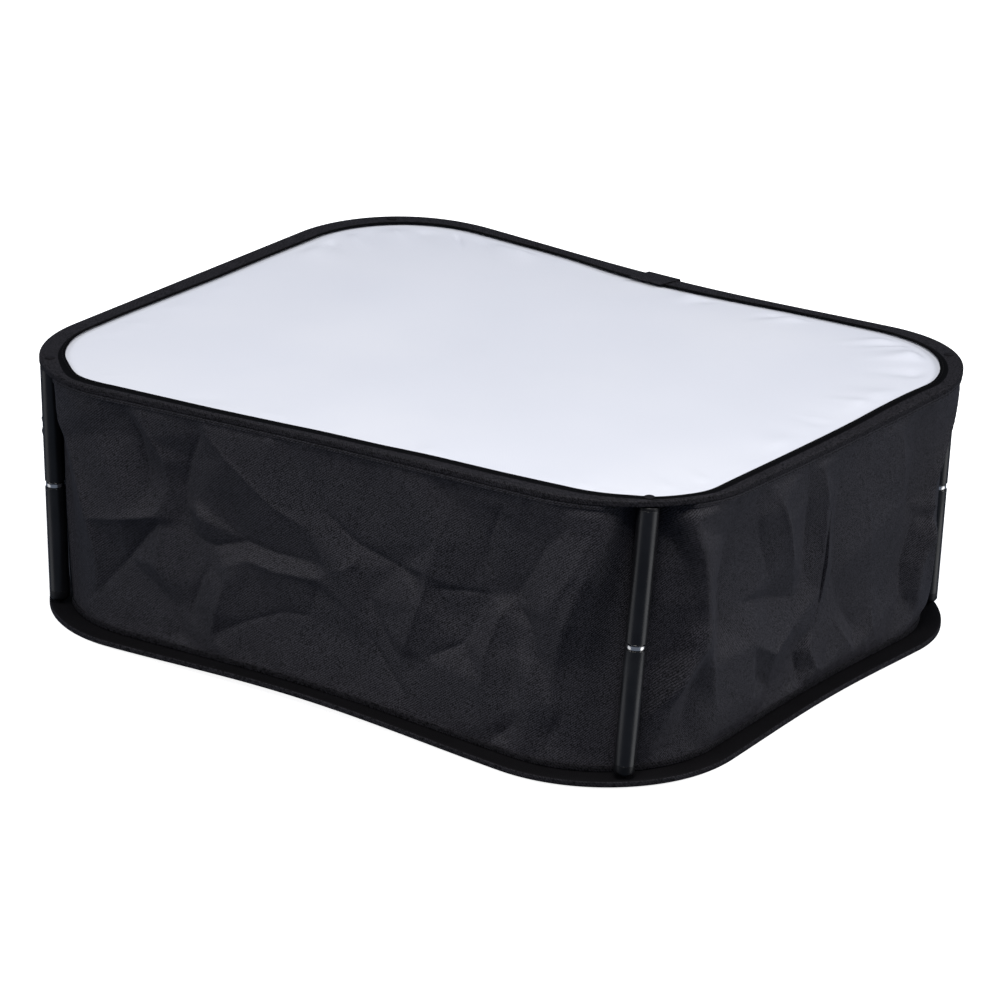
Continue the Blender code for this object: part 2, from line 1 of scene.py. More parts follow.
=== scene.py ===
"""Looks of a collapsible softbox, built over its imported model.

Lengths are in metres and angles in degrees. +Z is up and the rear rests on the floor.
"""
import math
from collections import namedtuple

import bmesh
import bpy
import numpy as np
from mathutils import Matrix, Vector
from mathutils.geometry import delaunay_2d_cdt


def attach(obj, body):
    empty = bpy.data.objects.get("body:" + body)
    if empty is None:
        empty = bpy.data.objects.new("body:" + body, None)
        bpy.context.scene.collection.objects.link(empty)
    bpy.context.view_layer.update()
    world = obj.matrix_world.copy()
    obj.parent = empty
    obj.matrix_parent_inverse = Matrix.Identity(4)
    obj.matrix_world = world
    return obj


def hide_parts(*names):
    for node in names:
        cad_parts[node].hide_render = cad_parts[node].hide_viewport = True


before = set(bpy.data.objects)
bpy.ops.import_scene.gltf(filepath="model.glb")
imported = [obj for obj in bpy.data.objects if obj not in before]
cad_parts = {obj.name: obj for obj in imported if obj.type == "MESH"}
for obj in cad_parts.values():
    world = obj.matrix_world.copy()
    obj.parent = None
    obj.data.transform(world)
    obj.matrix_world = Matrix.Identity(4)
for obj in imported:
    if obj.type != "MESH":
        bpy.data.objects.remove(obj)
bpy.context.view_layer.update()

# Loops and sleeves
LOOP_WIDTH = 0.388
LOOP_DEPTH = 0.324
LOOP_SPACING = 0.1345
SLEEVE_HEIGHT = 0.003
SLEEVE_CLOTH = 0.0005
SLEEVE_CROWN = 0.0002
SLEEVE_FILLET = 0.0013
FIRST_FILLET = 0.0004
FOLD_STEPS = 5
CROWN_PLACE = 0.15
FRONT_SLEEVE_TOP_WIDTH = 0.0095
FRONT_SLEEVE_UNDER_WIDTH = 0.0138
REAR_SLEEVE_WIDTH = 0.0130
OVERLAP_LENGTH = 0.019
OVERLAP_OFFSET = -0.011
OVERLAP_STEPS = 24
OVERLAP_ENDS = (OVERLAP_OFFSET + OVERLAP_LENGTH / 2, OVERLAP_OFFSET - OVERLAP_LENGTH / 2)
LAP_WIDER = 0.0105
LAP_FILLET = 0.0006

# The strip along a sleeve's lip that is painted darker as shade, and how much wider that painted shade is on
# the near and right sides
LIP_SHADE_STRIP = 0.002
LIP_SHADE_STRIP_NEAR = 0.0040
LIP_SHADE_STRIP_RIGHT = 0.0028
LIP_SMOOTHING = 12

# Rods
ROD_DIAMETER = 0.010
ROD_INSET = 0.005
TUBE_WALL = 0.001
LOWER_HALF_LENGTH = 0.0605
COLLAR_DIAMETER = 0.0092
COLLAR_HEIGHT = 0.002
COLLAR_RAISED = {"near_left": 0.001, "near_right": 0.0031, "far_right": 0.0015, "far_left": 0.001}
SPIGOT_LENGTH = 0.009
FOOT_ROUND_HEIGHT = 0.00245
FOOT_FLAT_RADIUS = 0.002
FOOT_STEPS = 12
PLUG_RIM = 0.001
HEAD_FILLET = 0.0008
HEAD_STEPS = 5
HEAD_CLEARANCE = 0.0004
TUBE_CHAMFER = 0.0007
SOFT_EDGE = 0.0001
CRISP_EDGE = 0.00003
RIVET_HEAD_DIAMETER = 0.005
RIVET_HEAD_HEIGHT = 0.0005
RIVET_EDGE = 0.0002
RIVET_STEPS = 8

# Walls: how far in they stand, and the ridges and grooves beside the rods at both ends of each
WALL_CLOTH = 0.0008
WALL_FRONT_INSET = 0.0012
WALL_REAR_INSET = 0.0113
WALL_CORNER_INSET = 0.0125
WALL_SIDE_DRAW = 0.002
DRAW_ANGLE = 18.0
CORNER_DRAW = {"near": (-0.0016, 0.0005), "right": (0.0005, 0), "far": (0, 0.002), "left": (0.002, -0.0016)}
RIDGE = {
    "near": (0.0034, 0.0034), "right": (0.0026, 0.005), "far": (0.0024, 0.0024), "left": (0.0024, 0.0085),
}
RIDGE_ANGLE = {"near": (34.0, 31.0), "right": (22.0, 40.0), "far": (30.0, 27.0), "left": (26.0, 20.0)}
RIDGE_ANGLE_AT_ENDS = 0.35
RIDGE_SPREAD = 5.0
RIDGE_LOW = {"near": 0.6, "right": 1.0, "far": 1.0, "left": 1.0}
GROOVE = {"near": (0.0035, 0.0015), "right": (0, 0.0015), "far": (0, 0), "left": (0, 0)}
GROOVE_PLACE = 0.45
GROOVE_SPREAD = 0.35
GROOVE_FROM = (2.5, 10.0)

# Crumples and puckers of the walls
FOLD_SHARE = 0.4
HELD_LOW = 0.07
HELD_HIGH = 0.05
FACET_DEPTH = {"near": 0.85, "right": 1.4, "far": 1.2, "left": 1.2}
FACET_SOFTENING = 8
CREASE_SHARE = 0.45
CREASE_LIMIT = 0.001
CREASE_WIDTH = 0.0013
FACET_REACH = {"near": 0.2, "right": 0.17, "far": 0.2, "left": 0.17}
BORDER_PITCH = 0.02
BORDER_HEIGHTS = (-0.002, 0.142)
CRUMPLE_DEPTH = 0.00016
CRUMPLE_PITCH = (0.013, 0.012)
CRUMPLE_SCATTER = 0.005
CRUMPLE_SOFTENING = 2
CRUMPLE_SEED = {"near": 11, "right": 5, "far": 7, "left": 3}
PUCKER_DEPTH = 0.0006
PUCKER_PITCH = 0.011
PUCKER_FADE = 0.03
PUCKER_REACH = {"near": 0.19, "right": 0.155, "far": 0.19, "left": 0.155}
PUCKER_SCATTER = 0.004
PUCKER_LEAN = 0.012
PUCKER_WIDTH = (0.0018, 0.004)
PUCKER_LENGTH = (0.06, 0.16)
PUCKER_SEED = {"near": 21, "right": 22, "far": 23, "left": 24}

# Hems, diffuser, back and its opening
HEM_CLOTH = 0.0005
HEM_FILLET = 0.0002
FRONT_HEM_HEIGHT = 0.002
REAR_HEM_HEIGHT = 0.003
SHEET_CLOTH = 0.0005
SHEET_TUCK = 0.00825
DIFFUSER_SAG = 0.0025
PLEAT_HEIGHT = 0.0022
PLEAT_REACH = 0.09
PLEAT_FROM = (0.01, 0.05)
PLEATS = 90
PLEAT_WIDTH = (0.0025, 0.008)
PLEAT_GROWTH = (0.12, 0.9, 0.4)
SHEET_MIDDLE = 0.0006
OPENING_WIDTH = 0.270
OPENING_DEPTH = 0.206
OPENING_RADIUS = 0.030
OPENING_HEIGHT = 0.003
OPENING_HEM_WIDTH = 0.010
OPENING_HEM_CROWN = 0.0001
ELASTIC_WIDTH = 0.005
ELASTIC_THICKNESS = 0.001
ELASTIC_FILLET = 0.0003
RIPPLE_DEPTH = 0.0005
RIPPLE_PERIOD = 0.028
GAP = 0.0003
SEAM = 0.00005

# Camera, as fitted to the photograph
VIEW_AZIMUTH = 34.718
VIEW_ELEVATION = 20.741
VIEW_ROLL = 1.7545
VIEW_DISTANCE = 2.403
VIEW_TARGET = (0.0, 0.0, 0.06805)
VIEW_LENS = {"lens": 175.86, "sensor_width": 36.0, "shift_x": 0.00023, "shift_y": -0.01875, "clip_end": 50.0}

# Lights: azimuth from the camera's and elevation, then angular size and strength, or distance
SKY = 0.18
SKY_COLOUR = (0.64, 0.76, 1.0, 1.0)
FLOOR_GLOW = 0.90
FLOOR_REACH = 9.0
FLOOR_DROP = 0.0003
SOFT_LIGHTS = {
    "left": (-66.0, 34.0, 22.0, 1.00),
    "right": (88.0, 30.0, 20.0, 1.50),
    "bounce_left": (-80.0, -20.7, 40.0, 0.24),
    "bounce_right": (80.0, -20.7, 40.0, 0.48),
}
SOFT_LIGHT_DISTANCE = 3.0
KEY_PLACE = (2.0, 60.0, 1.12)
KEY_SIZE = 0.45
KEY_POWER = 9.1
KEY_COLOUR = (1.0, 0.985, 0.93)

# Mesh density, for long and short sides where there are two
ARC_STEPS = 34
WALL_STEPS = (300, 230)
WALL_ROWS = 150
OUTLINE_STEPS = (100, 76)
SHEET_RINGS = 46
BACK_RINGS = 16
ROD_SIDES = 64
RIVET_SIDES = 40

# Stitches
STITCH_PITCH = 0.003
STITCH_LENGTH = 0.0023
STITCH_RADIUS = 0.0002
STITCH_ROUND = 0.0012
STITCH_SIDES = 6
STITCH_SHAPE = ((0.0, 0.25), (0.12, 0.85), (0.5, 1.0), (0.88, 0.85), (1.0, 0.25))
STITCH_INSET = 0.0016
OPENING_STITCH_INSET = 0.0012
STITCH_SUNK = 0.00008

CORNERS = {"near_left": (-1, -1), "near_right": (1, -1), "far_right": (1, 1), "far_left": (-1, 1)}
SIDE_ALONG = {"near": (1, 0), "right": (0, 1), "far": (-1, 0), "left": (0, -1)}
SIDES = tuple(SIDE_ALONG)
LONG_SIDES = ("near", "far")

# How much wider than elsewhere the front sleeve's lip is, in millimetres: place along the side, more
LIP_WIDER = {
    "near": [
        (-165, 3), (-156, 1.5), (-145, -0.8), (-120, 0), (-60, -1), (-20, 0), (0, 1.2), (31, 1.4),
        (57, 3.4), (98, 3.6), (130, 5), (148, 2.6), (168, 0), (177, -3),
    ],
    "right": [
        (-132, -3), (-114, -3), (-97, 0), (-27, 0.5), (20, 0.8), (50, 1.8), (75, 1.8), (95, 0.4), (130, 2.4),
    ],
    "far": [
        (-160, 2.6), (-139, 2.6), (-115, 1.6), (-66, 1.8), (-45, 4), (-24, 6), (2, 7.5), (22, 8),
        (38, 6.4), (56, 3), (73, 1.8), (120, 2), (160, 2.2),
    ],
    "left": [(-109, 2.4), (-50, 2), (-10, 2.6), (30, 1.8), (66, 1.2), (109, 2.2), (125, 3), (140, 3)],
}

# Main folds in millimetres, as in the solids: place along the side and height at both ends, then
# depth inwards and half width
FOLDS = {}
FOLDS["near"] = [
    ((-98, 125), (-78, 80), 5, 12), ((-64, 80), (-66, 45), -3.5, 9), ((-49, 87), (-20, 30), 4, 12),
    ((25, 105), (30, 50), -3.5, 14), ((77, 63), (116, 80), 3.5, 10), ((124, 120), (108, 60), 5, 10),
]
FOLDS["right"] = [
    ((-112, 125), (-103, 66), -4, 8), ((-103, 66), (-125, 20), -4, 8), ((-90, 115), (-86, 30), 4.5, 9),
    ((-58, 110), (-52, 20), -3, 10), ((0, 100), (15, 25), 3.5, 14), ((60, 110), (75, 30), -3, 12),
]
FOLDS["far"] = [
    ((-100, 110), (-70, 50), 4.5, 14), ((-10, 100), (-30, 40), -3.5, 14), ((80, 110), (100, 40), 4.5, 14),
]
FOLDS["left"] = [
    ((-70, 110), (-50, 40), 4, 14), ((40, 105), (60, 40), -3.5, 14),
]

# Crease lines of each wall in millimetres: place along the side, height, depth inwards
CREASES = {}
CREASES["near"] = [
    [(-136, 116, -1), (-129, 107, 1.6), (-120, 95, -0.8)],
    [(-108, 124, 2), (-101, 112, 3.2), (-98, 99, 2.6), (-97, 85, 1.8)],
    [(-101, 124, -1.5), (-93, 113, -2.2), (-86, 103, -1.8), (-85, 90, -0.6)],
    [(-63, 123, 1), (-72, 106, 3.6), (-76, 93, 4), (-76, 81, 3.4)],
    [(-59, 123, -1.2), (-49, 114, -2.4), (-33, 103, -2.6), (-21, 95, -2.2), (-3, 89, -1.4)],
    [(-69, 87, 2), (-67, 80, -1.6), (-64, 73, 1)], [(-134, 62, -2), (-113, 67, -3.6), (-92, 73, -2.2)],
    [(-91, 69, 1), (-100, 60, 3.2), (-112, 45, 3.6), (-129, 26, 2.2), (-140, 16, 1)],
    [(-80, 70, 3), (-70, 67, 4.6), (-58, 65, 3.4), (-41, 71, 2.8), (-25, 70, 2.6), (3, 71, 2)],
    [(-52, 57, -1.6), (-38, 63, -2.4), (-22, 62, -2), (4, 64, -1.2)],
    [(-60, 56, 2.8), (-67, 45, 3), (-72, 33, 2.6), (-74, 22, 2)],
    [(-52, 47, -2), (-57, 32, -2.2), (-60, 18, -1)],
    [(-95, 47, -1.6), (-86, 41, -0.6), (-83, 28, 2.2), (-79, 14, 2.6)],
    [(2, 58, 1.6), (-4, 43, 2.4), (-18, 41, 1.4), (-40, 31, 1.8), (-57, 21, 1)],
    [(7, 99, 1), (26, 87, 3), (48, 81, 3.2), (60, 79, 2.6)], [(9, 70, -1), (19, 73, -1.6), (25, 79, -0.8)],
    [(27, 75, 1), (32, 62, 2.8), (38, 50, 2.4), (49, 36, 1.2)],
    [(25, 50, 1.4), (38, 35, 2.6), (47, 24, 2.2), (57, 15, 0.8)],
    [(65, 83, -3), (72, 100, -1.8), (80, 124, 1.8)], [(64, 76, -2.8), (62, 66, -3.2), (54, 43, -2)],
    [(70, 76, 1), (85, 78, 2.8), (99, 79, 3.8)], [(92, 67, 3.4), (85, 52, 3), (65, 40, 0.6)],
    [(107, 126, 1), (103, 119, 3), (98, 107, 4), (97, 98, 4.2), (100, 89, 4)],
    [(141, 123, 0), (131, 112, 1.8), (121, 96, 2.6), (112, 82, 3.4)],
    [(152, 121, -2.6), (144, 101, -3.8), (131, 80, -2.6)],
    [(113, 78, 1.8), (122, 69, 3), (128, 54, 2.6), (134, 36, 0.8)],
    [(105, 72, -2.4), (99, 50, -2.6), (98, 36, -2), (101, 14, -0.8)],
    [(113, 60, 1.2), (113, 40, 1.6), (111, 26, 0.6)], [(120, 48, -1.4), (123, 30, -1.6), (122, 14, -0.6)],
    [(115, 21, 1.6), (109, 14, 2.4), (104, 9, 1.2)], [(141, 32, 1.8), (136, 22, 2.4), (133, 12, 1)],
]
CREASES["right"] = [
    [(-125, 126, 2), (-118, 116, 3), (-113, 102, 2.4), (-111, 86, 1)],
    [(-115, 127, -2.6), (-110, 112, -4), (-106, 92, -4.4), (-102, 71, -4.4)],
    [(-137, 122, -1.4), (-125, 104, -1.8), (-121, 86, -0.4)],
    [(-103, 64, -4.2), (-112, 48, -4), (-123, 32, -3.6), (-144, 17, -2.4)],
    [(-116, 62, 1.6), (-131, 44, 3.6), (-147, 24, 2.6)],
    [(-99, 67, -2.8), (-92, 49, -2.8), (-86, 24, -1.6)], [(-103, 44, 1.4), (-106, 24, 1.8)],
    [(-90, 112, 1.6), (-88, 90, 2.4), (-84, 66, 1.8)],
    [(-55, 126, -1.2), (-48, 115, -2.6), (-41, 104, -2.8), (-28, 79, -1.6)],
    [(-66, 116, 0.8), (-56, 96, 1.6), (-46, 78, 0.8)],
    [(-13, 125, -1.4), (-5, 105, -2.6), (-2, 79, -2.4), (-2, 57, -1.6), (-2, 40, -0.6)],
    [(-20, 112, 0.6), (-15, 92, 1.6), (-13, 70, 1.2)], [(8, 108, 0.5), (10, 84, 0.8), (12, 60, 0.5)],
    [(-69, 73, 1.6), (-46, 68, 2.4), (-20, 60, 1.2)], [(-60, 50, -1.8), (-38, 38, -2.2), (-22, 46, -1)],
    [(-54, 20, -1.6), (-47, 28, 1.8), (-36, 18, 1.2)], [(-14, 30, 2), (-10, 18, 1.8)],
    [(-6, 30, -1.6), (0, 19, -2.2), (11, 12, -1)], [(17, 38, -0.8), (28, 24, -1.8), (38, 14, -1)],
    [(24, 42, 1), (38, 26, 1.2)], [(50, 34, -0.8), (52, 21, -1.8), (58, 13, -0.8)],
    [(34, 96, -1), (40, 74, -1.4), (44, 56, -0.6)], [(59, 122, -1), (64, 105, -1.6), (68, 84, -0.6)],
    [(76, 104, 1), (77, 80, 1.6), (68, 62, 0.6)],
    [(118, 84, -0.8), (104, 68, -2.6), (92, 56, -4), (89, 44, -4.2), (90, 32, -3.6), (96, 15, -1.4)],
    [(84, 70, 1.4), (78, 48, 1.8), (80, 30, 1)],
]
CREASES["far"] = [
    [(-124, 112, 1), (-112, 92, 2.8), (-104, 68, 1.6)],
    [(-104, 118, -1), (-92, 96, -2.6), (-70, 84, -2.2), (-44, 80, -1)],
    [(-118, 56, -2.2), (-96, 44, -2.8), (-82, 22, -1.2)], [(-70, 62, 2.4), (-52, 54, 3), (-36, 34, 1.6)],
    [(-58, 110, 1.4), (-36, 102, 2.4), (-14, 110, 1)],
    [(-20, 88, -1.6), (2, 72, -3), (10, 46, -2.2), (4, 20, -1)],
    [(20, 118, 1), (28, 96, 2.6), (44, 80, 2.8), (66, 76, 1.4)],
    [(34, 58, -1.6), (56, 50, -2.6), (74, 30, -1.4)], [(74, 112, -1.2), (88, 92, -2.6), (92, 66, -1.8)],
    [(104, 110, 1.6), (112, 84, 2.8), (108, 52, 2), (118, 26, 1)], [(-14, 34, 1.6), (-28, 16, 1)],
    [(28, 34, 1.4), (40, 16, 1.6)],
]
CREASES["left"] = [
    [(-98, 108, 1), (-88, 86, 2.6), (-84, 60, 2), (-92, 34, 1)],
    [(-70, 116, -1), (-62, 94, -2.6), (-44, 76, -2.8), (-22, 70, -1.4)],
    [(-66, 48, -1.6), (-50, 34, -2.6), (-44, 16, -1)], [(-30, 108, 1), (-14, 94, 2.6), (6, 92, 1.2)],
    [(-18, 50, 2.4), (-6, 36, 2.8), (-8, 18, 1.2)],
    [(14, 116, -1), (22, 94, -2.6), (18, 66, -2.8), (28, 40, -1.4)],
    [(44, 110, 1), (50, 84, 2.6), (66, 66, 2.4), (88, 60, 1)], [(46, 50, -1), (60, 36, -2.4), (64, 16, -1)],
    [(82, 104, -1.4), (90, 84, -2)], [(88, 38, 1.6), (98, 20, 1)],
]

REAR_Z = RIVET_HEAD_HEIGHT + GAP
FOOT_SWEEP = math.hypot(ROD_DIAMETER / 2, FOOT_ROUND_HEIGHT)
TUBE_BORE = ROD_DIAMETER / 2 - TUBE_WALL
SPIGOT_RADIUS = TUBE_BORE - GAP
UP = np.array([0.0, 0.0, 1.0])
ENDS = (0, -1)


class Loop(namedtuple("Loop", "radius z shift bow rise gathering")):
    """One sprung loop, as in the solids: its outline, and the way that it bows in and rises."""

    def profile(self, s):
        left = 1 - np.minimum(s * s, 1.0)
        return (1 - self.gathering) * left + self.gathering * left ** 4

    def place(self, x, y, height):
        """The real places of points that lie at x, y on the flat loop."""
        x, y, height = np.broadcast_arrays(np.asarray(x, float), y, height)
        u, v = x / (LOOP_WIDTH / 2), y / (LOOP_DEPTH / 2)
        point = np.stack([x, y, self.z + height], -1)
        for corner, shift in self.shift.items():
            sx, sy = CORNERS[corner]
            point = point + ((1 + sx * u) * (1 + sy * v) / 4)[..., None] * np.array(shift)
        for side, (c, s) in SIDE_ALONG.items():
            weight = self.profile(u * c + v * s) * np.maximum(u * s - v * c, 0.0) ** 5
            move = (-s * self.bow[side], c * self.bow[side], self.rise[side])
            point = point + weight[..., None] * np.array(move)
        return point

    def side(self, side, steps):
        return side_run(LOOP_WIDTH, LOOP_DEPTH, self.radius, side, steps)

    def outline(self):
        return outline(LOOP_WIDTH, LOOP_DEPTH, self.radius)


FRONT = Loop(
    radius=0.071,
    z=REAR_Z + LOOP_SPACING - SLEEVE_HEIGHT,
    shift={"near_left": (-0.001, -0.0025, -0.005), "near_right": (0.002, 0.010, 0.0055)},
    bow={"near": 0.0015, "far": 0.0035, "left": 0.0, "right": 0.0025},
    rise={"near": 0.001, "far": -0.004, "left": 0.0, "right": -0.0035},
    gathering=0.5,
)
REAR = Loop(
    radius=0.078,
    z=REAR_Z,
    shift={},
    bow=dict.fromkeys(SIDES, 0.0),
    rise={"near": 0.0055, "far": 0.0055, "left": 0.004, "right": 0.004},
    gathering=1.0,
)


class Run(namedtuple("Run", "x y nx ny off_rod")):
    """Points along an outline, the unit directions inwards, and the angles off the nearest rod."""

    def at(self, inset):
        return self.x + self.nx * inset, self.y + self.ny * inset

    def inward(self):
        return np.stack([self.nx, self.ny, np.zeros(len(self.nx))], -1)


def side_run(width, depth, radius, side, steps):
    """One side, anticlockwise, from one corner's middle to the next."""
    long_side = side in LONG_SIDES
    half_run = (width if long_side else depth) / 2 - radius
    half_off = (depth if long_side else width) / 2
    arc = np.linspace(0.0, 45.0, ARC_STEPS + 1)
    middle = np.linspace(-half_run, half_run, steps[not long_side] + 1)[1:-1]
    down = np.radians(np.concatenate([arc - 45.0, np.zeros(len(middle)), arc]))
    run = np.concatenate([np.full(len(arc), -half_run), middle, np.full(len(arc), half_run)])
    off_rod = np.concatenate([arc, np.full(len(middle), 45.0), arc[::-1]])
    nx, ny = -np.sin(down), np.cos(down)
    x = run - radius * nx
    y = -(half_off - radius) - radius * ny
    c, s = SIDE_ALONG[side]
    return Run(c * x - s * y, s * x + c * y, c * nx - s * ny, s * nx + c * ny, off_rod)


def outline(width, depth, radius):
    """The whole outline, without a repeat of its first point."""
    runs = [side_run(width, depth, radius, side, OUTLINE_STEPS) for side in SIDES]
    return Run(*(np.concatenate([part[:-1] for part in parts]) for parts in zip(*runs)))


def rod_seats(corner):
    """Where a rod's axis meets the rear sleeve's top and the front sleeve's underside."""
    sx, sy = CORNERS[corner]
    found = []
    for loop, height in ((REAR, SLEEVE_HEIGHT), (FRONT, 0.0)):
        inset = loop.radius - (loop.radius - ROD_INSET) / math.sqrt(2)
        x, y = sx * (LOOP_WIDTH / 2 - inset), sy * (LOOP_DEPTH / 2 - inset)
        found.append(Vector(loop.place(x, y, height)))
    return found


def add_object(name, data):
    made = bpy.data.objects.new(name, data)
    bpy.context.scene.collection.objects.link(made)
    return made


def make_piece(name, lattices, looks, sharp, node=None, body="softbox"):
    """Make a mesh from lattices of points; it replaces a node unless it's an addition.

    A lattice has a grid of points, their distances on the cloth along and across (one more where it
    wraps), its look or the look of each column, and whether it wraps along and across.
    """
    points, faces, places, chosen = [], [], [], []
    count = 0
    for grid, along, across, look, wrap_along, wrap_across in lattices:
        rows, cols = grid.shape[:2]
        i, k = np.indices((rows - 1 + wrap_along, cols - 1 + wrap_across)).reshape(2, -1, 1)
        corner_i, corner_k = i + np.array([0, 1, 1, 0]), k + np.array([0, 0, 1, 1])
        points.append(grid.reshape(-1, 3))
        faces.append(count + (corner_i % rows) * cols + corner_k % cols)
        places.append(np.stack([along[corner_i], across[corner_k]], -1))
        chosen.append(np.broadcast_to(look, cols)[k.ravel()])
        count += rows * cols
    mesh = bpy.data.meshes.new(name)
    mesh.from_pydata(np.concatenate(points).tolist(), [], np.concatenate(faces).tolist())
    layer = mesh.uv_layers.new(name="cloth")
    layer.data.foreach_set("uv", np.concatenate(places).astype(np.float32).ravel())
    for look in looks:
        mesh.materials.append(look)
    mesh.polygons.foreach_set("material_index", np.concatenate(chosen).astype(np.int32))
    bm = bmesh.new()
    bm.from_mesh(mesh)
    bmesh.ops.remove_doubles(bm, verts=bm.verts, dist=1e-6)
    bmesh.ops.recalc_face_normals(bm, faces=bm.faces)
    bm.to_mesh(mesh)
    bm.free()
    mesh.shade_smooth()
    mesh.set_sharp_from_angle(angle=math.radians(sharp))
    made = add_object(name, mesh)
    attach(made, body)
    if node:
        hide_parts(node)


def lengths(points, wrap=False):
    """Distances along a line of points, with one more for the way back to its start."""
    if wrap:
        points = np.concatenate([points, points[:1]])
    return np.concatenate([[0.0], np.cumsum(np.linalg.norm(np.diff(points, axis=0), axis=1))])


def shell(name, node, outer, inner, looks, wrap=False, rims=ENDS):
    """A sheet of cloth from its outer and inner faces, rows along it and columns across."""
    across = lengths(outer[len(outer) // 2])
    along = lengths(outer[:, outer.shape[1] // 2], wrap)
    edge = np.array([0.0, WALL_CLOTH])
    lattices = [(outer, along, across, 0, wrap, False), (inner, along, across, len(looks) - 1, wrap, False)]
    for k in rims:
        lattices.append((np.stack([outer[:, k], inner[:, k]], 1), along, edge, 0, wrap, False))
    for i in ENDS if not wrap else ():
        lattices.append((np.stack([outer[i], inner[i]], 1), across, edge, 0, False, False))
    make_piece(name, lattices, looks, 60.0, node)


def swept(name, node, rings, looks, closed=True, chosen=0):
    """A band whose section is given at every station, with the chosen look for each of its strips."""
    across = lengths(rings[0], True)
    lattices = [(rings, lengths(rings[:, 0], closed), across, chosen, closed, True)]
    middle = rings.shape[1] // 2
    for i in ENDS if not closed else ():
        cap = np.stack([rings[i, :middle], rings[i, ::-1][:middle]], 1)
        lattices.append((cap, across[:middle + 1], np.array([0.0, SLEEVE_CLOTH]), 0, False, False))
    make_piece(name, lattices, looks, 70.0, node)


def rounded(section, radius, steps=3, first=None):
    """A section of (inset, height) points with rounded corners, the first by a radius of its own."""
    found = []
    for k, point in enumerate(section):
        here = Vector(point)
        back = Vector(section[k - 1]) - here
        ahead = Vector(section[(k + 1) % len(section)]) - here
        wanted = first if first and k == 0 else radius
        cut = min(wanted, back.length * 0.45, ahead.length * 0.45)
        a = here + back.normalized() * cut
        b = here + ahead.normalized() * cut
        for t in np.linspace(0.0, 1.0, steps + 1):
            found.append(tuple(a * (1 - t) ** 2 + here * 2 * t * (1 - t) + b * t ** 2))
    return found


def fold_section(outer_width, inner_width, height, crown):
    """A cloth folded into a U that opens inwards, lower layer first, with its edges rounded."""
    cloth = SLEEVE_CLOTH
    plain = [
        (0.0, 0.0), (outer_width, 0.0), (outer_width, cloth), (cloth, cloth), (cloth, height - cloth),
        (inner_width, height - cloth), (inner_width, height - crown),
        (inner_width - LIP_SHADE_STRIP, height - crown * 0.5), (inner_width * CROWN_PLACE, height),
        (0.0, height - crown),
    ]
    return rounded(plain, SLEEVE_FILLET, FOLD_STEPS, FIRST_FILLET)


def ring_rows(loop, run, section, further=0.0):
    """A ring of points at every station of a run on a loop, with places further in where wanted."""
    inset, height = np.array(section).T
    inset = inset + further
    x = run.x[:, None] + run.nx[:, None] * inset
    y = run.y[:, None] + run.ny[:, None] * inset
    return loop.place(x, y, height)


def along_side(side, x, y):
    return x * SIDE_ALONG[side][0] + y * SIDE_ALONG[side][1]


def lip_wider():
    """How much wider the front sleeve's lip is, all along the outline."""
    found = []
    for side in SIDES:
        run = FRONT.side(side, OUTLINE_STEPS)
        places, more = np.array(LIP_WIDER[side]).T / 1000
        found.append(np.interp(along_side(side, run.x, run.y)[:-1], places, more))
    found = np.concatenate(found)
    for n in range(LIP_SMOOTHING):
        found = (np.roll(found, 1) + 2 * found + np.roll(found, -1)) / 4
    return found


def ripple(along):
    """A smooth, seeded unevenness along a closed line."""
    rng = np.random.default_rng(8)
    total = along[-1]
    found = np.zeros(len(along))
    for k in range(6):
        waves = max(1, round(total / RIPPLE_PERIOD * (0.6 + 0.25 * k)))
        phase = rng.uniform(0, 2 * math.pi)
        found += math.cos(0.6 * k) * np.sin(2 * math.pi * waves * along / total + phase)
    return RIPPLE_DEPTH * found / 3


def stitches(name, line):
    """A row of stitches half sunk in the cloth along a closed line of points."""
    along = lengths(line, True)
    path = np.concatenate([line, line[:1]])
    count = int(along[-1] / STITCH_PITCH)
    starts = np.arange(count) * along[-1] / count
    a, b = (
        np.stack([np.interp(s % along[-1], along, path[:, k]) for k in range(3)], -1)
        for s in (starts, starts + STITCH_LENGTH)
    )
    run = b - a
    run /= np.linalg.norm(run, axis=1, keepdims=True)
    side = np.cross(run, UP)
    side /= np.linalg.norm(side, axis=1, keepdims=True)
    up = np.cross(side, run)
    turn = (2 * math.pi * np.arange(STITCH_SIDES) / STITCH_SIDES)[:, None]
    around = np.linspace(0, STITCH_ROUND, STITCH_SIDES + 1)
    length = np.linspace(0, STITCH_LENGTH, len(STITCH_SHAPE))
    lattices = []
    for n in range(count):
        ring = STITCH_RADIUS * (np.cos(turn) * side[n] + np.sin(turn) * up[n])
        grid = np.array([a[n] + (b[n] - a[n]) * share + ring * width for share, width in STITCH_SHAPE])
        lattices.append((grid, length, around, 0, False, True))
    make_piece(name, lattices, [THREAD], 80.0)


def turned(name, node, profile, look, body, matrix, sides=ROD_SIDES):
    """Spin a profile of (radius, height) points round the axis of a matrix."""
    flat = np.array(profile, float)
    flat[:, 0] = np.maximum(flat[:, 0], 1e-5)
    turn = np.linspace(0, 2 * math.pi, sides, endpoint=False)[:, None]
    grid = np.stack(np.broadcast_arrays(flat[:, 0] * np.cos(turn), flat[:, 0] * np.sin(turn), flat[:, 1]), -1)
    grid = grid @ np.array(matrix.to_3x3()).T + np.array(matrix.translation)
    around = np.linspace(0, math.pi * ROD_DIAMETER, sides + 1)
    closed = profile[0][0] > 0
    lattice = grid, around, lengths(flat, closed), 0, True, closed
    make_piece(name, [lattice], [look], 35.0, node, body)


def smoothstep(low, high, value):
    t = np.clip((value - low) / (high - low), 0.0, 1.0)
    return t * t * (3 - 2 * t)


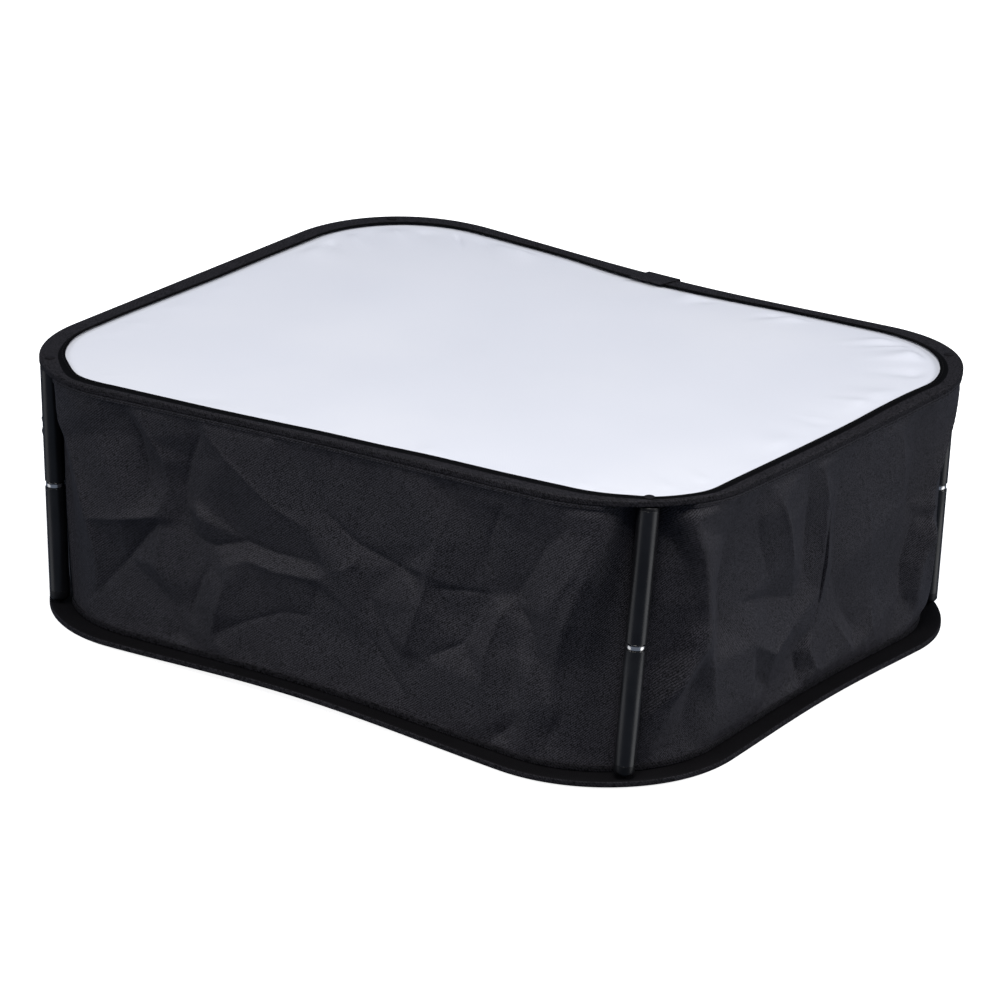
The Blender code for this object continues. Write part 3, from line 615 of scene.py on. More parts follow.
def facets(points, depths, lines, along, height):
    """Flat facets between points and crease lines, read at places on the wall."""
    corners, _, triangles, sources = delaunay_2d_cdt([Vector(p) for p in points], lines, [], 0, 1e-7)[:4]
    corner_depth = [depths[source[0]] if source else 0.0 for source in sources]
    found = np.zeros(along.shape)
    for triangle in triangles:
        (ax, ay), (bx, by), (cx, cy) = (corners[k] for k in triangle)
        area = (bx - ax) * (cy - ay) - (cx - ax) * (by - ay)
        if abs(area) < 1e-12:
            continue
        box = (along >= min(ax, bx, cx)) & (along <= max(ax, bx, cx))
        box &= (height >= min(ay, by, cy)) & (height <= max(ay, by, cy))
        px, py = along[box] - ax, height[box] - ay
        wb = (px * (cy - ay) - (cx - ax) * py) / area
        wc = ((bx - ax) * py - px * (by - ay)) / area
        wa = 1 - wb - wc
        inside = (wa >= -1e-6) & (wb >= -1e-6) & (wc >= -1e-6)
        da, db, dc = (corner_depth[k] for k in triangle)
        found[box] = np.where(inside, wa * da + wb * db + wc * dc, found[box])
    return found


def softened(grid, passes):
    """The grid with its sharpest creases rounded a little."""
    for n in range(passes):
        padded = np.pad(grid, 1, mode="edge")
        beside = padded[:-2, 1:-1] + padded[2:, 1:-1] + padded[1:-1, :-2] + padded[1:-1, 2:]
        grid = (beside + 4 * grid) / 8
    return grid


def from_line(start, end, along, height):
    """Of places on a wall, the share passed of a straight line, and the distance off it."""
    run = end - start
    along, height = along - start[0], height - start[1]
    share = np.clip((along * run[0] + height * run[1]) / (run @ run), 0.0, 1.0)
    return share, np.hypot(along - run[0] * share, height - run[1] * share)


def crease_line(line, along, height):
    """A sharp crease along a line of places and depths, which fades towards both ends."""
    passed = lengths(line[:, :2])
    nearest = np.full(along.shape, 1.0)
    share = np.zeros(along.shape)
    for k in range(len(line) - 1):
        t, off = from_line(line[k, :2], line[k + 1, :2], along, height)
        closer = off < nearest
        nearest = np.where(closer, off, nearest)
        share = np.where(closer, (passed[k] + t * (passed[k + 1] - passed[k])) / passed[-1], share)
    depth = np.clip(CREASE_SHARE * line[:, 2].mean(), -CREASE_LIMIT, CREASE_LIMIT)
    return depth * np.exp(-nearest / CREASE_WIDTH) * np.sqrt(np.clip(4 * share * (1 - share), 0.0, 1.0))


def crumple(side, along, height):
    """Depth inwards of a wall's creases and of its small crumples."""
    points, lines = [], []
    for line in CREASES[side]:
        lines += [(k, k + 1) for k in range(len(points), len(points) + len(line) - 1)]
        points += [(a / 1000, h / 1000, depth / 1000 * FACET_DEPTH[side]) for a, h, depth in line]
    reach = FACET_REACH[side]
    border = [(a, h, 0.0) for a in np.arange(-reach, reach + 0.001, BORDER_PITCH) for h in BORDER_HEIGHTS]
    border += [(a, h, 0.0) for h in np.arange(0.02, 0.13, BORDER_PITCH) for a in (-reach, reach)]
    flat = [point[:2] for point in points + border]
    depths = [point[2] for point in points + border]
    large = softened(facets(flat, depths, lines, along, height), FACET_SOFTENING)
    for line in CREASES[side]:
        large += crease_line(np.array(line) / 1000, along, height)
    rng = np.random.default_rng(CRUMPLE_SEED[side])
    small = []
    for a in np.arange(-reach, reach + 0.001, CRUMPLE_PITCH[0]):
        for h in np.arange(-0.004, 0.150, CRUMPLE_PITCH[1]):
            small.append(tuple(place + rng.uniform(-CRUMPLE_SCATTER, CRUMPLE_SCATTER) for place in (a, h)))
    small_depths = rng.normal(0.0, CRUMPLE_DEPTH, len(small))
    return large + softened(facets(small, small_depths, [], along, height), CRUMPLE_SOFTENING)


def fold_depth(side, along, height):
    """How far the main folds push the cloth inwards."""
    total = np.zeros(along.shape)
    for start, end, depth, half_width in FOLDS[side]:
        off = from_line(np.array(start) / 1000, np.array(end) / 1000, along, height)[1]
        total += depth / 1000 * np.exp(-(off / half_width * 1000) ** 2)
    return total


def seam_puckers(side, along, t):
    """Short upright puckers where a wall is sewn to its loops."""
    rng = np.random.default_rng(PUCKER_SEED[side])
    total = np.zeros(np.broadcast_shapes(along.shape, t.shape))
    for edge in (1 - t, t):
        for a in np.arange(-PUCKER_REACH[side], PUCKER_REACH[side], PUCKER_PITCH):
            middle = a + rng.uniform(-PUCKER_SCATTER, PUCKER_SCATTER)
            lean = rng.uniform(-PUCKER_LEAN, PUCKER_LEAN)
            width = rng.uniform(*PUCKER_WIDTH)
            length = rng.uniform(*PUCKER_LENGTH)
            depth = PUCKER_DEPTH * rng.uniform(-1.0, 1.0)
            off = (along - middle - lean * edge / length * 0.5) / width
            fade = smoothstep(0.0, PUCKER_FADE, edge) * (1 - smoothstep(PUCKER_FADE, length, edge))
            total += depth * np.exp(-off * off) * fade
    return total


def wall_ends(rear, front):
    """Bottom and top of a wall's outer face."""
    share = np.maximum(0.0, 1.0 - rear.off_rod / DRAW_ANGLE)
    low = REAR.place(*rear.at(WALL_REAR_INSET), SLEEVE_HEIGHT + GAP)
    high = FRONT.place(*front.at(WALL_FRONT_INSET + (WALL_CORNER_INSET - WALL_FRONT_INSET) * share), -GAP)
    return low, high


def make_wall(side):
    rear = REAR.side(side, WALL_STEPS)
    low, high = wall_ends(rear, FRONT.side(side, WALL_STEPS))
    t = np.linspace(0.0, 1.0, WALL_ROWS + 1)
    place = low[:, None] + (high - low)[:, None] * t[:, None]
    along = along_side(side, place[..., 0], place[..., 1])
    height = place[..., 2]
    off_rod = rear.off_rod[:, None]
    later = np.arange(len(off_rod))[:, None] >= len(off_rod) // 2
    corner_draw, ridge, ridge_angle, groove = (
        np.where(later, ends[side][1], ends[side][0]) for ends in (CORNER_DRAW, RIDGE, RIDGE_ANGLE, GROOVE)
    )
    low_belly = np.sin(math.pi * t ** RIDGE_LOW[side])
    ridge_angle = ridge_angle * (RIDGE_ANGLE_AT_ENDS + (1 - RIDGE_ANGLE_AT_ENDS) * low_belly)
    share = np.clip(1.0 - off_rod / ridge_angle, 0.0, 1.0)
    from_groove = (off_rod - GROOVE_PLACE * ridge_angle) / (GROOVE_SPREAD * ridge_angle)
    folds = WALL_SIDE_DRAW + FOLD_SHARE * fold_depth(side, along, height)
    belly = corner_draw * share + folds * (1 - share)
    belly -= ridge * np.exp(-np.abs(off_rod - ridge_angle) / RIDGE_SPREAD)
    belly += groove * np.exp(-from_groove ** 2) * smoothstep(*GROOVE_FROM, off_rod)
    held = smoothstep(0.0, HELD_LOW, t) * smoothstep(0.0, HELD_HIGH, 1 - t)
    fine = crumple(side, along, height) * held + seam_puckers(side, along[:, :1], t)
    draw = belly * np.sin(math.pi * t) + fine * (1 - share)
    inward = rear.inward()[:, None]
    outer = place + inward * draw[..., None]
    inner = outer + inward * WALL_CLOTH
    # neighbouring walls stand a hair apart at the corners
    tangent = np.array([*SIDE_ALONG[side], 0.0]) * SEAM / 2
    for grid in (outer, inner):
        grid[0] += tangent
        grid[-1] -= tangent
    shell(f"{side}_wall_cloth", f"{side}_wall", outer, inner, [TWILL, SILVER])


class Nodes:
    """A small helper that adds nodes to one material, with some values of its shader."""

    def __init__(self, name, **values):
        self.material = bpy.data.materials.new(name)
        self.material.use_nodes = True
        self.tree = self.material.node_tree
        self.shader = self.tree.nodes["Principled BSDF"]
        source = self.tree.nodes.new("ShaderNodeTexCoord")
        self.cloth, self.solid = source.outputs["UV"], source.outputs["Object"]
        self.set(**values)

    def feed(self, node, inputs):
        """Link a node's inputs, or give them values."""
        for key, value in inputs.items():
            if isinstance(value, bpy.types.NodeSocket):
                self.tree.links.new(value, node.inputs[key])
            else:
                node.inputs[key].default_value = value

    def set(self, **values):
        self.feed(self.shader, {key.replace("_", " "): value for key, value in values.items()})

    def add(self, kind, result, inputs, **settings):
        """Add a node with its settings and inputs, and return one of its outputs."""
        node = self.tree.nodes.new(kind)
        for key, value in settings.items():
            setattr(node, key, value)
        self.feed(node, inputs)
        return node.outputs[result]

    def turned(self, angle, stretch=1.0):
        """Coordinates on the cloth in metres, turned in its plane."""
        rotation = (0.0, 0.0, math.radians(angle))
        inputs = {"Vector": self.cloth, "Rotation": rotation, "Scale": (1.0, stretch, 1.0)}
        return self.add("ShaderNodeMapping", "Vector", inputs)

    def ribs(self, angle, period, distortion, direction="X", place=None):
        inputs = {"Vector": place or self.turned(angle), "Scale": math.pi / (10 * period)}
        inputs |= {"Distortion": distortion, "Detail": 1.0}
        return self.add("ShaderNodeTexWave", "Fac", inputs, bands_direction=direction)

    def noise(self, size, detail=3.0, place=None):
        inputs = {"Vector": place or self.solid, "Scale": 1 / size, "Detail": detail}
        return self.add("ShaderNodeTexNoise", "Fac", inputs)

    def math(self, operation, a, b, clamp=False):
        return self.add("ShaderNodeMath", 0, {0: a, 1: b}, operation=operation, use_clamp=clamp)

    def weave(self, first, second, share):
        """Two sets of ribs together, the first with its share."""
        return self.add("ShaderNodeMix", "Result", {"Factor": 1 - share, "A": first, "B": second})

    def ramp(self, value, low, high, start=0.0, end=1.0):
        """Map a value from start..end to low..high."""
        inputs = {"Value": value, "From Min": start, "From Max": end, "To Min": low, "To Max": high}
        return self.add("ShaderNodeMapRange", "Result", inputs)

    def blend(self, share, first, second):
        first, second = ((*side, 1.0) if isinstance(side, tuple) else side for side in (first, second))
        inputs = {"Factor": share, "A": first, "B": second}
        return self.add("ShaderNodeMix", "Result", inputs, data_type="RGBA")

    def spots(self, size, detail, dark, light):
        """Colour a hard finish from dark to light in soft spots, and return those."""
        spots = self.noise(size, detail)
        self.set(Base_Color=self.blend(self.ramp(spots, 0.0, 1.0, 0.35, 0.7), dark, light))
        return spots

    def finish(self, rough, height, depth, strength):
        """Set how rough the material is and its relief, and return it."""
        inputs = {"Strength": strength, "Distance": depth, "Height": height}
        self.set(Roughness=rough, Normal=self.add("ShaderNodeBump", "Normal", inputs))
        return self.material

    def woven(self, weave, share, patch, wear, colours, rough, depth, strength):
        """Finish a cloth whose weave is coloured by a share and worn in patches."""
        dark, light, worn = colours
        base = self.blend(share, dark, light)
        self.set(Base_Color=self.blend(self.ramp(patch, 0.0, *wear), base, worn))
        return self.finish(self.ramp(patch, *rough, 0.3, 0.7), weave, depth, strength)

    def twill(self, ribs, cross, first, fuzz, reach, patch, *rest):
        """Finish a twill of two sets of ribs, with fuzz of a size on it."""
        weave = self.weave(self.ribs(*ribs), self.ribs(*cross), first)
        fuzz = self.ramp(self.noise(*fuzz), *reach, 0.3, 0.7)
        share = self.math("MULTIPLY", weave, fuzz, clamp=True)
        return self.woven(weave, share, self.noise(*patch), (0.25, 0.35, 0.7), *rest)


# The walls' black twill: fine diagonal ribs over a tighter cross weave
m = Nodes("black_twill", Sheen_Weight=0.03, Sheen_Roughness=0.35, Specular_IOR_Level=0.12,
          Sheen_Tint=(0.85, 0.87, 0.95, 1.0))
colours = (0.0046, 0.0044, 0.0053), (0.048, 0.0455, 0.0545), (0.0245, 0.0235, 0.0275)
TWILL = m.twill((52, 0.0010, 0.7), (-40, 0.0006, 0.8), 0.7, (0.0006, 1.0), (-0.30, 2.45), (0.035, 4.0),
                colours, (0.50, 0.62), 0.00022, 0.55)

# Black twill of the sleeves, coarser and more speckled
m = Nodes("black_binding_twill", Specular_IOR_Level=0.06)
colours = (0.002, 0.0019, 0.0023), (0.0285, 0.027, 0.032), (0.0103, 0.0098, 0.0115)
BINDING = m.twill((40, 0.0011, 1.0), (-50, 0.0007, 0.8), 0.5, (0.0008, 2.0), (-0.6, 2.9), (0.02, 3.0),
                  colours, (0.55, 0.70), 0.0002, 0.6)


def edge_tape(name, shade):
    """Black woven tape: close ribs across it, with a fine thread along; a shade below 1 darkens its colours
    as painted shade.
    """
    m = Nodes(name, Specular_IOR_Level=0.03)
    weave = m.weave(m.ribs(8, 0.0009, 0.8), m.ribs(0, 0.00045, 0.6, "Y"), 0.6)
    colours = (0.0022, 0.0021, 0.0025), (0.0095, 0.009, 0.0105), (0.008, 0.0076, 0.009)
    colours = [tuple(shade * part for part in colour) for colour in colours]
    return m.woven(weave, weave, m.noise(0.02), (0.3, 0.35, 0.7), colours, (0.55, 0.70), 0.0002, 0.6)


# the plain tape also colours the rear sleeve's whole top, darker than its binding: painted shade there
TAPE_AND_PAINTED_TOP_SHADE = edge_tape("black_tape_and_painted_top_shade", 1.0)
# the lip's tape is the plain tape darkened: painted shade along the front sleeve's lip
LIP_PAINTED_SHADE = edge_tape("black_lip_painted_shade", 0.35)

# White diffusion fabric: plain close weave with a soft sheen
m = Nodes("white_diffusion", Sheen_Weight=0.06, Sheen_Roughness=0.5, Specular_IOR_Level=0.25)
weave = m.math("MULTIPLY", m.ribs(0, 0.0006, 0.5), m.ribs(0, 0.0006, 0.5, "Y"))
colours = (0.645, 0.66, 0.735), (0.695, 0.705, 0.775), (0.70, 0.705, 0.755)
WHITE = m.woven(weave, weave, m.noise(0.09, 2.0), (0.3, 0.4, 0.7), colours, (0.55, 0.68), 0.00006, 0.35)

# Silver reflector face, a thin metal film on the cloth
m = Nodes("silver_reflector", Metallic=0.9)
fine = m.noise(0.0016)
broad = m.ramp(m.noise(0.02), 0.0, 1.0, 0.3, 0.7)
m.set(Base_Color=m.blend(broad, (0.56, 0.57, 0.58), (0.70, 0.70, 0.71)))
SILVER = m.finish(m.ramp(fine, 0.34, 0.50), fine, 0.0002, 0.6)

# Satin black anodised tube, drawn lengthways, with a few dulled spots
m = Nodes("black_anodised", Specular_IOR_Level=0.5)
grain = m.noise(0.0004, place=m.turned(0, 0.08))
dull = m.spots(0.012, 4.0, (0.0032, 0.0032, 0.004), (0.0052, 0.0052, 0.0066))
rough = m.math("ADD", m.ramp(dull, 0.28, 0.36, 0.3, 0.7), m.ramp(grain, 0.0, 0.05))
TUBE = m.finish(rough, grain, 0.00002, 0.25)

# Moulded plastic of the plugs
m = Nodes("black_plastic", Specular_IOR_Level=0.22)
dull = m.spots(0.006, 3.0, (0.0045, 0.0045, 0.0052), (0.008, 0.008, 0.0095))
PLASTIC = m.finish(m.ramp(dull, 0.32, 0.44, 0.3, 0.7), m.noise(0.0007), 0.00005, 0.4)

# Dull paint on the rivets' heads
m = Nodes("black_rivet_paint", Specular_IOR_Level=0.05)
dull = m.spots(0.003, 3.0, (0.008, 0.0076, 0.009), (0.014, 0.0133, 0.0158))
RIVET = m.finish(m.ramp(dull, 0.5, 0.62, 0.3, 0.7), dull, 0.00004, 0.4)

# Bright metal with fine turned rings round it
m = Nodes("bright_turned_metal", Metallic=1.0)
dull = m.spots(0.004, 3.0, (0.72, 0.71, 0.69), (0.90, 0.89, 0.87))
BRIGHT = m.finish(m.ramp(dull, 0.12, 0.24, 0.3, 0.7), m.ribs(0, 0.00018, 0.6, "Y"), 0.00001, 0.5)

# Steel of the sprung strips
m = Nodes("blued_spring_steel", Metallic=1.0)
m.spots(0.012, 3.0, (0.28, 0.28, 0.30), (0.42, 0.41, 0.40))
grain = m.noise(0.0008, 4.0)
STEEL = m.finish(m.ramp(grain, 0.28, 0.42), grain, 0.00003, 0.3)

# Elastic and thread
m = Nodes("ribbed_elastic")
ribs = m.ribs(0, 0.0012, 0.5, place=m.solid)
m.set(Base_Color=m.blend(ribs, (0.008, 0.008, 0.008), (0.028, 0.028, 0.030)))
ELASTIC = m.finish(m.ramp(ribs, 0.6, 0.8), ribs, 0.0002, 0.6)

m = Nodes("black_thread", Specular_IOR_Level=0.1)
twist = m.ribs(35, 0.0004, 0.4)
m.set(Base_Color=m.blend(twist, (0.003, 0.003, 0.003), (0.010, 0.010, 0.011)))
THREAD = m.finish(m.ramp(twist, 0.6, 0.75), twist, 0.00005, 0.5)

# The ground, pale and lit by itself
m = Nodes("pale_floor", Specular_IOR_Level=0.05, Emission_Strength=FLOOR_GLOW, Emission_Color=(1, 1, 1, 1))
broad = m.noise(0.8, 2.0)
m.set(Base_Color=m.blend(broad, (0.88, 0.88, 0.88), (0.90, 0.90, 0.90)), Roughness=m.ramp(broad, 0.75, 0.85))
GROUND = m.material


def make_sleeves():
    """Both sleeves; the front one's lip and the rear one's whole top take darker tape looks, which are
    painted shade on the same cloth.
    """
    corner = FOLD_STEPS + 1
    for name, loop, widths, wider, tape, dark in (
        ("front_sleeve", FRONT, (FRONT_SLEEVE_UNDER_WIDTH, FRONT_SLEEVE_TOP_WIDTH), 1.0, LIP_PAINTED_SHADE, 2),
        # the rear sleeve's top takes the tape look as painted shade, the same cloth drawn darker
        ("rear_sleeve", REAR, (REAR_SLEEVE_WIDTH, REAR_SLEEVE_WIDTH), 0.0, TAPE_AND_PAINTED_TOP_SHADE, 4),
    ):
        section = fold_section(*widths, SLEEVE_HEIGHT, SLEEVE_CROWN)
        strip = np.arange(len(section))
        lip = (strip >= corner * 5) & (strip < corner * 7)
        border = (strip >= corner * 7) & (strip < corner * 8)
        run = loop.outline()
        wider = wider * lip_wider()
        # the lip's painted shade strip reaches further in on the near and right sides
        near = LIP_SHADE_STRIP_NEAR * np.maximum(run.ny, 0.0) ** 2 + LIP_SHADE_STRIP_RIGHT * np.maximum(-run.nx, 0.0) ** 2
        rings = ring_rows(loop, run, section, wider[:, None] * lip + (wider - near)[:, None] * border)
        # the strips from the lip onwards take the darker look: painted shade, not a different cloth
        chosen = ((strip >= corner * 5) & (strip < corner * (5 + dark) + 2)).astype(int)
        swept(f"{name}_cloth", name, rings, [BINDING, tape], chosen=chosen)
        line = loop.place(*run.at(widths[1] + wider - STITCH_INSET), SLEEVE_HEIGHT - STITCH_SUNK)
        stitches(f"{name}_stitches", line)


def make_hems():
    """The seam tapes at the walls' bottom and top."""
    rear = REAR.outline()
    low, high = wall_ends(rear, FRONT.outline())
    out = -rear.inward()
    for name, edge, rise, look in (
        ("rear_hem", low, REAR_HEM_HEIGHT, BINDING),
        ("front_hem", high, -FRONT_HEM_HEIGHT, TWILL),
    ):
        face = GAP + HEM_CLOTH
        section = rounded([(GAP, 0.0), (GAP, rise), (face, rise), (face, 0.0)], HEM_FILLET)
        rings = np.stack([edge + out * off + UP * z for off, z in section], 1)
        swept(f"{name}_tape", name, rings, [look])
        stitches(f"{name}_stitches", edge + out * face + UP * rise * 0.5)


def make_overlap():
    """The lap of the front sleeve's ends, on the far side."""
    low, wide = SLEEVE_HEIGHT + GAP, FRONT_SLEEVE_TOP_WIDTH + LAP_WIDER
    high, out = low + SLEEVE_CLOTH, -GAP - SLEEVE_CLOTH
    plain = [(-GAP, 0.0), (-GAP, low), (wide, low), (wide, high), (out, high), (out, 0.0)]
    x = np.linspace(*OVERLAP_ENDS, OVERLAP_STEPS + 1)
    ones = np.ones(len(x))
    run = Run(x, ones * LOOP_DEPTH / 2, ones * 0.0, -ones, ones * 45.0)
    rings = ring_rows(FRONT, run, rounded(plain, LAP_FILLET))
    swept("front_sleeve_lap", "front_sleeve_overlap", rings, [BINDING], closed=False)


def ringed_sheet(name, node, rings, looks, rims):
    """A sheet from its outermost ring of points to its innermost, given on its lower face."""
    lower = np.stack(rings, 1)
    shell(name, node, lower + UP * SHEET_CLOTH, lower, looks, True, rims)


def make_diffuser():
    """The white front cloth, slack in its loop, with puckers along its seam."""
    run = FRONT.outline()
    base = SLEEVE_CLOTH + GAP
    mouth_x, mouth_y = run.at(FRONT_SLEEVE_UNDER_WIDTH + GAP)
    around = np.arange(len(mouth_x)) / len(mouth_x)
    rng = np.random.default_rng(4)
    pleat = np.zeros(len(around))
    for n in range(PLEATS):
        off = (around - rng.uniform(0, 1) + 0.5) % 1.0 - 0.5
        width = rng.uniform(*PLEAT_WIDTH)
        pleat += rng.uniform(-1, 1) * np.exp(-(off / width) ** 2)
    # the cloth is tighter on the near and left sides, where the puckers are low
    far, right = np.maximum(mouth_y, 0) / LOOP_DEPTH * 2, np.maximum(mouth_x, 0) / LOOP_WIDTH * 2
    least, by_far, by_right = PLEAT_GROWTH
    pleat *= PLEAT_HEIGHT * np.clip(least + by_far * far + by_right * right, 0, 1)
    rings = [FRONT.place(*run.at(SHEET_TUCK), base)]
    for share in np.maximum(1 - np.linspace(0.0, 1.0, SHEET_RINGS + 1) ** 1.35, SHEET_MIDDLE):
        x, y = mouth_x * share, mouth_y * share
        u, v = x / (LOOP_WIDTH / 2), y / (LOOP_DEPTH / 2)
        sag = DIFFUSER_SAG * ((1 - u * u) * (1 - v * v)) ** 2
        near_edge = math.exp(-((1 - share) / PLEAT_REACH) ** 2) * smoothstep(*PLEAT_FROM, 1 - share)
        wave = 0.00025 * np.sin(41 * x + 17 * y + 1.3) * np.sin(23 * y - 31 * x)
        wave += 0.00018 * np.sin(95 * x * (0.6 + 0.4 * v) + 60 * y)
        height = base - sag + pleat * near_edge + wave * min(1.0, (1 - share) / 0.05)
        rings.append(FRONT.place(x, y, height))
    ringed_sheet("diffuser_cloth", "diffuser", rings, [WHITE], (0,))


def make_back():
    """The rear cloth, the hem that binds its opening, and the elastic in that hem."""
    run = REAR.outline()
    opening = outline(OPENING_WIDTH, OPENING_DEPTH, OPENING_RADIUS)
    hem_height = 2 * SLEEVE_CLOTH + 2 * GAP + ELASTIC_THICKNESS
    low = SLEEVE_CLOTH + GAP
    high = low + ELASTIC_THICKNESS
    elastic_out = low + ELASTIC_WIDTH
    mid = (SLEEVE_HEIGHT - SHEET_CLOTH) / 2
    level = (hem_height - SHEET_CLOTH) / 2

    def flat(outwards, z):
        return np.stack([*opening.at(-outwards), np.full(len(opening.x), OPENING_HEIGHT + z)], -1)

    def band(name, node, section, look):
        swept(name, node, np.stack([flat(*point) for point in section], 1), [look])

    mouth = REAR.place(*run.at(REAR_SLEEVE_WIDTH + GAP), mid)
    hem_mouth = flat(OPENING_HEM_WIDTH + GAP, level)
    along = lengths(mouth, True)[:-1]
    gather = ripple(np.append(along, along[-1] + 0.003))[:-1]
    rings = [REAR.place(*run.at(SHEET_TUCK), mid)]
    for t in np.linspace(0.0, 1.0, BACK_RINGS):
        rings.append(mouth * (1 - t) + hem_mouth * t + UP * gather[:, None] * math.sin(math.pi * t))
    rings.append(flat(elastic_out + GAP, level))
    ringed_sheet("back_cloth", "back_panel", rings, [SILVER, TWILL], ENDS)

    section = fold_section(OPENING_HEM_WIDTH, OPENING_HEM_WIDTH, hem_height, OPENING_HEM_CROWN)
    band("opening_hem_cloth", "opening_hem", section, TAPE_AND_PAINTED_TOP_SHADE)
    section = rounded([(low, low), (elastic_out, low), (elastic_out, high), (low, high)], ELASTIC_FILLET)
    band("opening_elastic_band", "opening_elastic", section, ELASTIC)
    stitches("opening_hem_stitches", flat(OPENING_HEM_WIDTH - OPENING_STITCH_INSET, STITCH_SUNK))


def make_rod(corner):
    """One rod's plugs, tubes and bright collar, each riding on its half."""
    rear_seat, front_seat = rod_seats(corner)
    axis = (front_seat - rear_seat).normalized()
    radius = ROD_DIAMETER / 2
    crisp = radius - CRISP_EDGE
    half_collar = COLLAR_HEIGHT / 2
    pivot_up = FOOT_SWEEP + GAP
    stud_up = LOWER_HALF_LENGTH + COLLAR_RAISED[corner] + half_collar
    spin = Vector(UP).rotation_difference(axis).to_matrix().to_4x4()
    pivot = Matrix.Translation(rear_seat + axis * pivot_up) @ spin
    stud = Matrix.Translation(rear_seat + axis * stud_up) @ spin

    def piece(part, profile, look, half, matrix):
        name = f"{corner}_{part}"
        turned(f"{name}_fine", name, profile, look, f"{corner}_{half}_half", matrix)

    foot_flat = -math.sqrt(FOOT_SWEEP ** 2 - FOOT_FLAT_RADIUS ** 2)
    round_from = math.atan2(FOOT_ROUND_HEIGHT, radius)
    round_to = math.atan2(-foot_flat, FOOT_FLAT_RADIUS)
    foot = [(0, PLUG_RIM + SPIGOT_LENGTH), (SPIGOT_RADIUS, PLUG_RIM + SPIGOT_LENGTH)]
    foot += [(SPIGOT_RADIUS, PLUG_RIM), (crisp, PLUG_RIM), (radius, PLUG_RIM - CRISP_EDGE)]
    for angle in np.linspace(round_from, round_to, FOOT_STEPS + 1):
        foot.append((FOOT_SWEEP * math.cos(angle), -FOOT_SWEEP * math.sin(angle)))
    foot.append((0, foot_flat))
    piece("foot_plug", foot, PLASTIC, "lower", pivot)

    low = PLUG_RIM + SEAM
    high = stud_up - pivot_up - half_collar - GAP
    tube = [(TUBE_BORE, high), (radius - GAP, high), (radius - SOFT_EDGE, high - SOFT_EDGE)]
    tube += [(radius, high - GAP), (radius, (low + high) / 2), (radius, low + CRISP_EDGE)]
    tube += [(crisp, low), (TUBE_BORE, low)]
    piece("lower_tube", tube, TUBE, "lower", pivot)

    collar = COLLAR_DIAMETER / 2
    reach = half_collar + SPIGOT_LENGTH
    half = [(0, reach), (SPIGOT_RADIUS - GAP, reach), (SPIGOT_RADIUS, reach - GAP)]
    half += [(SPIGOT_RADIUS, half_collar), (collar - GAP, half_collar)]
    half += [(collar - SOFT_EDGE, half_collar - SOFT_EDGE), (collar, half_collar / 2)]
    half += [(r, -z) for r, z in reversed(half)]
    piece("joint_stud", half, BRIGHT, "lower", stud)

    top = (front_seat - rear_seat).length - HEAD_CLEARANCE - stud_up
    rim = top - PLUG_RIM - HEAD_FILLET
    low = half_collar + GAP
    high = rim - SEAM
    tube = [(TUBE_BORE, high), (crisp, high), (radius, high - CRISP_EDGE), (radius, (low + high) / 2)]
    tube += [(radius, low + TUBE_CHAMFER), (radius - TUBE_CHAMFER, low), (TUBE_BORE, low)]
    piece("upper_tube", tube, TUBE, "upper", stud)

    head = [(0, top)]
    for angle in np.radians(np.linspace(90, 0, HEAD_STEPS + 1)):
        head.append((radius - HEAD_FILLET * (1 - math.cos(angle)), top - HEAD_FILLET * (1 - math.sin(angle))))
    head += [(radius, rim + CRISP_EDGE), (crisp, rim), (SPIGOT_RADIUS, rim)]
    head += [(SPIGOT_RADIUS, high - SPIGOT_LENGTH), (0, high - SPIGOT_LENGTH)]
    piece("head_plug", head, PLASTIC, "upper", stud)

    radius = RIVET_HEAD_DIAMETER / 2
    dome = [(0, 0.0)]
    for angle in np.radians(np.linspace(0, 90, RIVET_STEPS + 1)[1:]):
        dome.append((radius * math.sin(angle), RIVET_HEAD_HEIGHT * (1 - math.cos(angle))))
    dome += [(radius - RIVET_EDGE, RIVET_HEAD_HEIGHT), (0, RIVET_HEAD_HEIGHT)]
    top = front_seat + Vector((0, 0, SLEEVE_HEIGHT + GAP + RIVET_HEAD_HEIGHT))
    for end, place in (
        ("rear", Matrix.Translation((rear_seat.x, rear_seat.y, 0.0))),
        ("front", Matrix.Translation(top) @ Matrix.Rotation(math.pi, 4, "X")),
    ):
        name = f"{corner}_{end}_rivet"
        turned(f"{name}_head", name, dome, RIVET, "softbox", place, RIVET_SIDES)


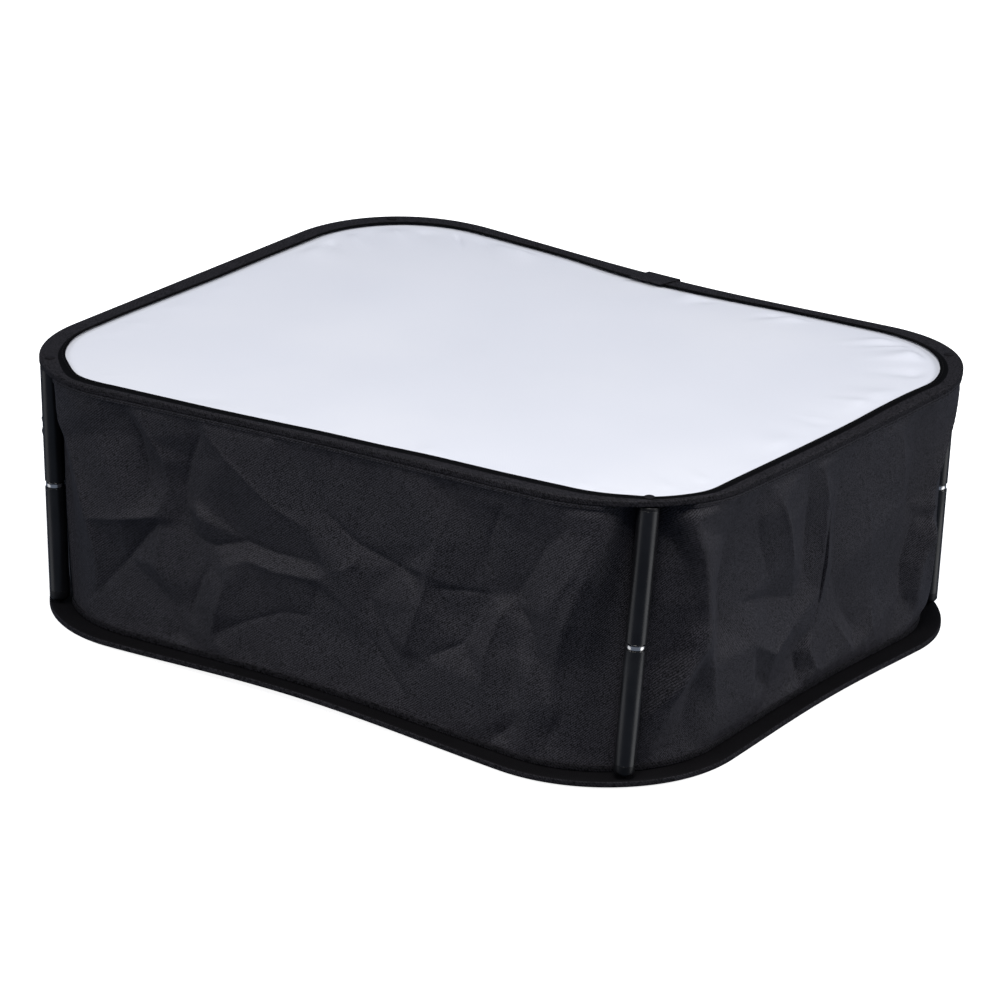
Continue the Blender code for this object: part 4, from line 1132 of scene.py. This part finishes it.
def make_stage():
    mesh = bpy.data.meshes.new("floor")
    corners = [(sx * FLOOR_REACH, sy * FLOOR_REACH, -FLOOR_DROP) for sx, sy in CORNERS.values()]
    mesh.from_pydata(corners, [], [(0, 1, 2, 3)])
    mesh.materials.append(GROUND)
    floor = add_object("floor", mesh)
    # the object is lit by the lights alone, so that the pale floor doesn't wash out its blacks
    floor.visible_diffuse = False
    floor.visible_glossy = False
    floor.visible_shadow = False


def aimed(data, azimuth, elevation, distance, roll=0.0, **settings):
    """A light or the camera, aimed at the object; the azimuth is counted from the camera's."""
    for key, value in settings.items():
        setattr(data, key, value)
    a, e = math.radians(VIEW_AZIMUTH + azimuth), math.radians(elevation)
    back = Vector((math.sin(a) * math.cos(e), -math.cos(a) * math.cos(e), math.sin(e)))
    turn = back.to_track_quat("Z", "Y").to_matrix() @ Matrix.Rotation(math.radians(roll), 3, "Z")
    made = add_object(data.name, data)
    made.matrix_world = Matrix.Translation(Vector(VIEW_TARGET) + back * distance) @ turn.to_4x4()
    return made


def make_studio():
    scene = bpy.context.scene
    world = bpy.data.worlds.new("studio")
    world.use_nodes = True
    sky = world.node_tree.nodes["Background"]
    sky.inputs["Color"].default_value = SKY_COLOUR
    sky.inputs["Strength"].default_value = SKY
    scene.world = world
    scene.view_settings.view_transform = "Standard"
    for name, (azimuth, elevation, spread, power) in SOFT_LIGHTS.items():
        sun = bpy.data.lights.new(name, "SUN")
        aimed(sun, azimuth, elevation, SOFT_LIGHT_DISTANCE, angle=math.radians(spread), energy=power)
    key = bpy.data.lights.new("key", "AREA")
    key = aimed(key, *KEY_PLACE, size=KEY_SIZE, energy=KEY_POWER, color=KEY_COLOUR)
    key.visible_camera = False
    camera = bpy.data.cameras.new("camera")
    scene.camera = aimed(camera, 0.0, VIEW_ELEVATION, VIEW_DISTANCE, VIEW_ROLL, **VIEW_LENS)


def main():
    make_studio()
    make_stage()
    for side in SIDES:
        make_wall(side)
    make_sleeves()
    make_hems()
    make_overlap()
    make_diffuser()
    make_back()
    for corner in CORNERS:
        make_rod(corner)
    for end in ("front", "rear"):
        for node, look in ((f"{end}_strip", STEEL), (f"{end}_strip_clip", BRIGHT)):
            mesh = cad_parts[node].data
            mesh.materials.clear()
            mesh.materials.append(look)


main()
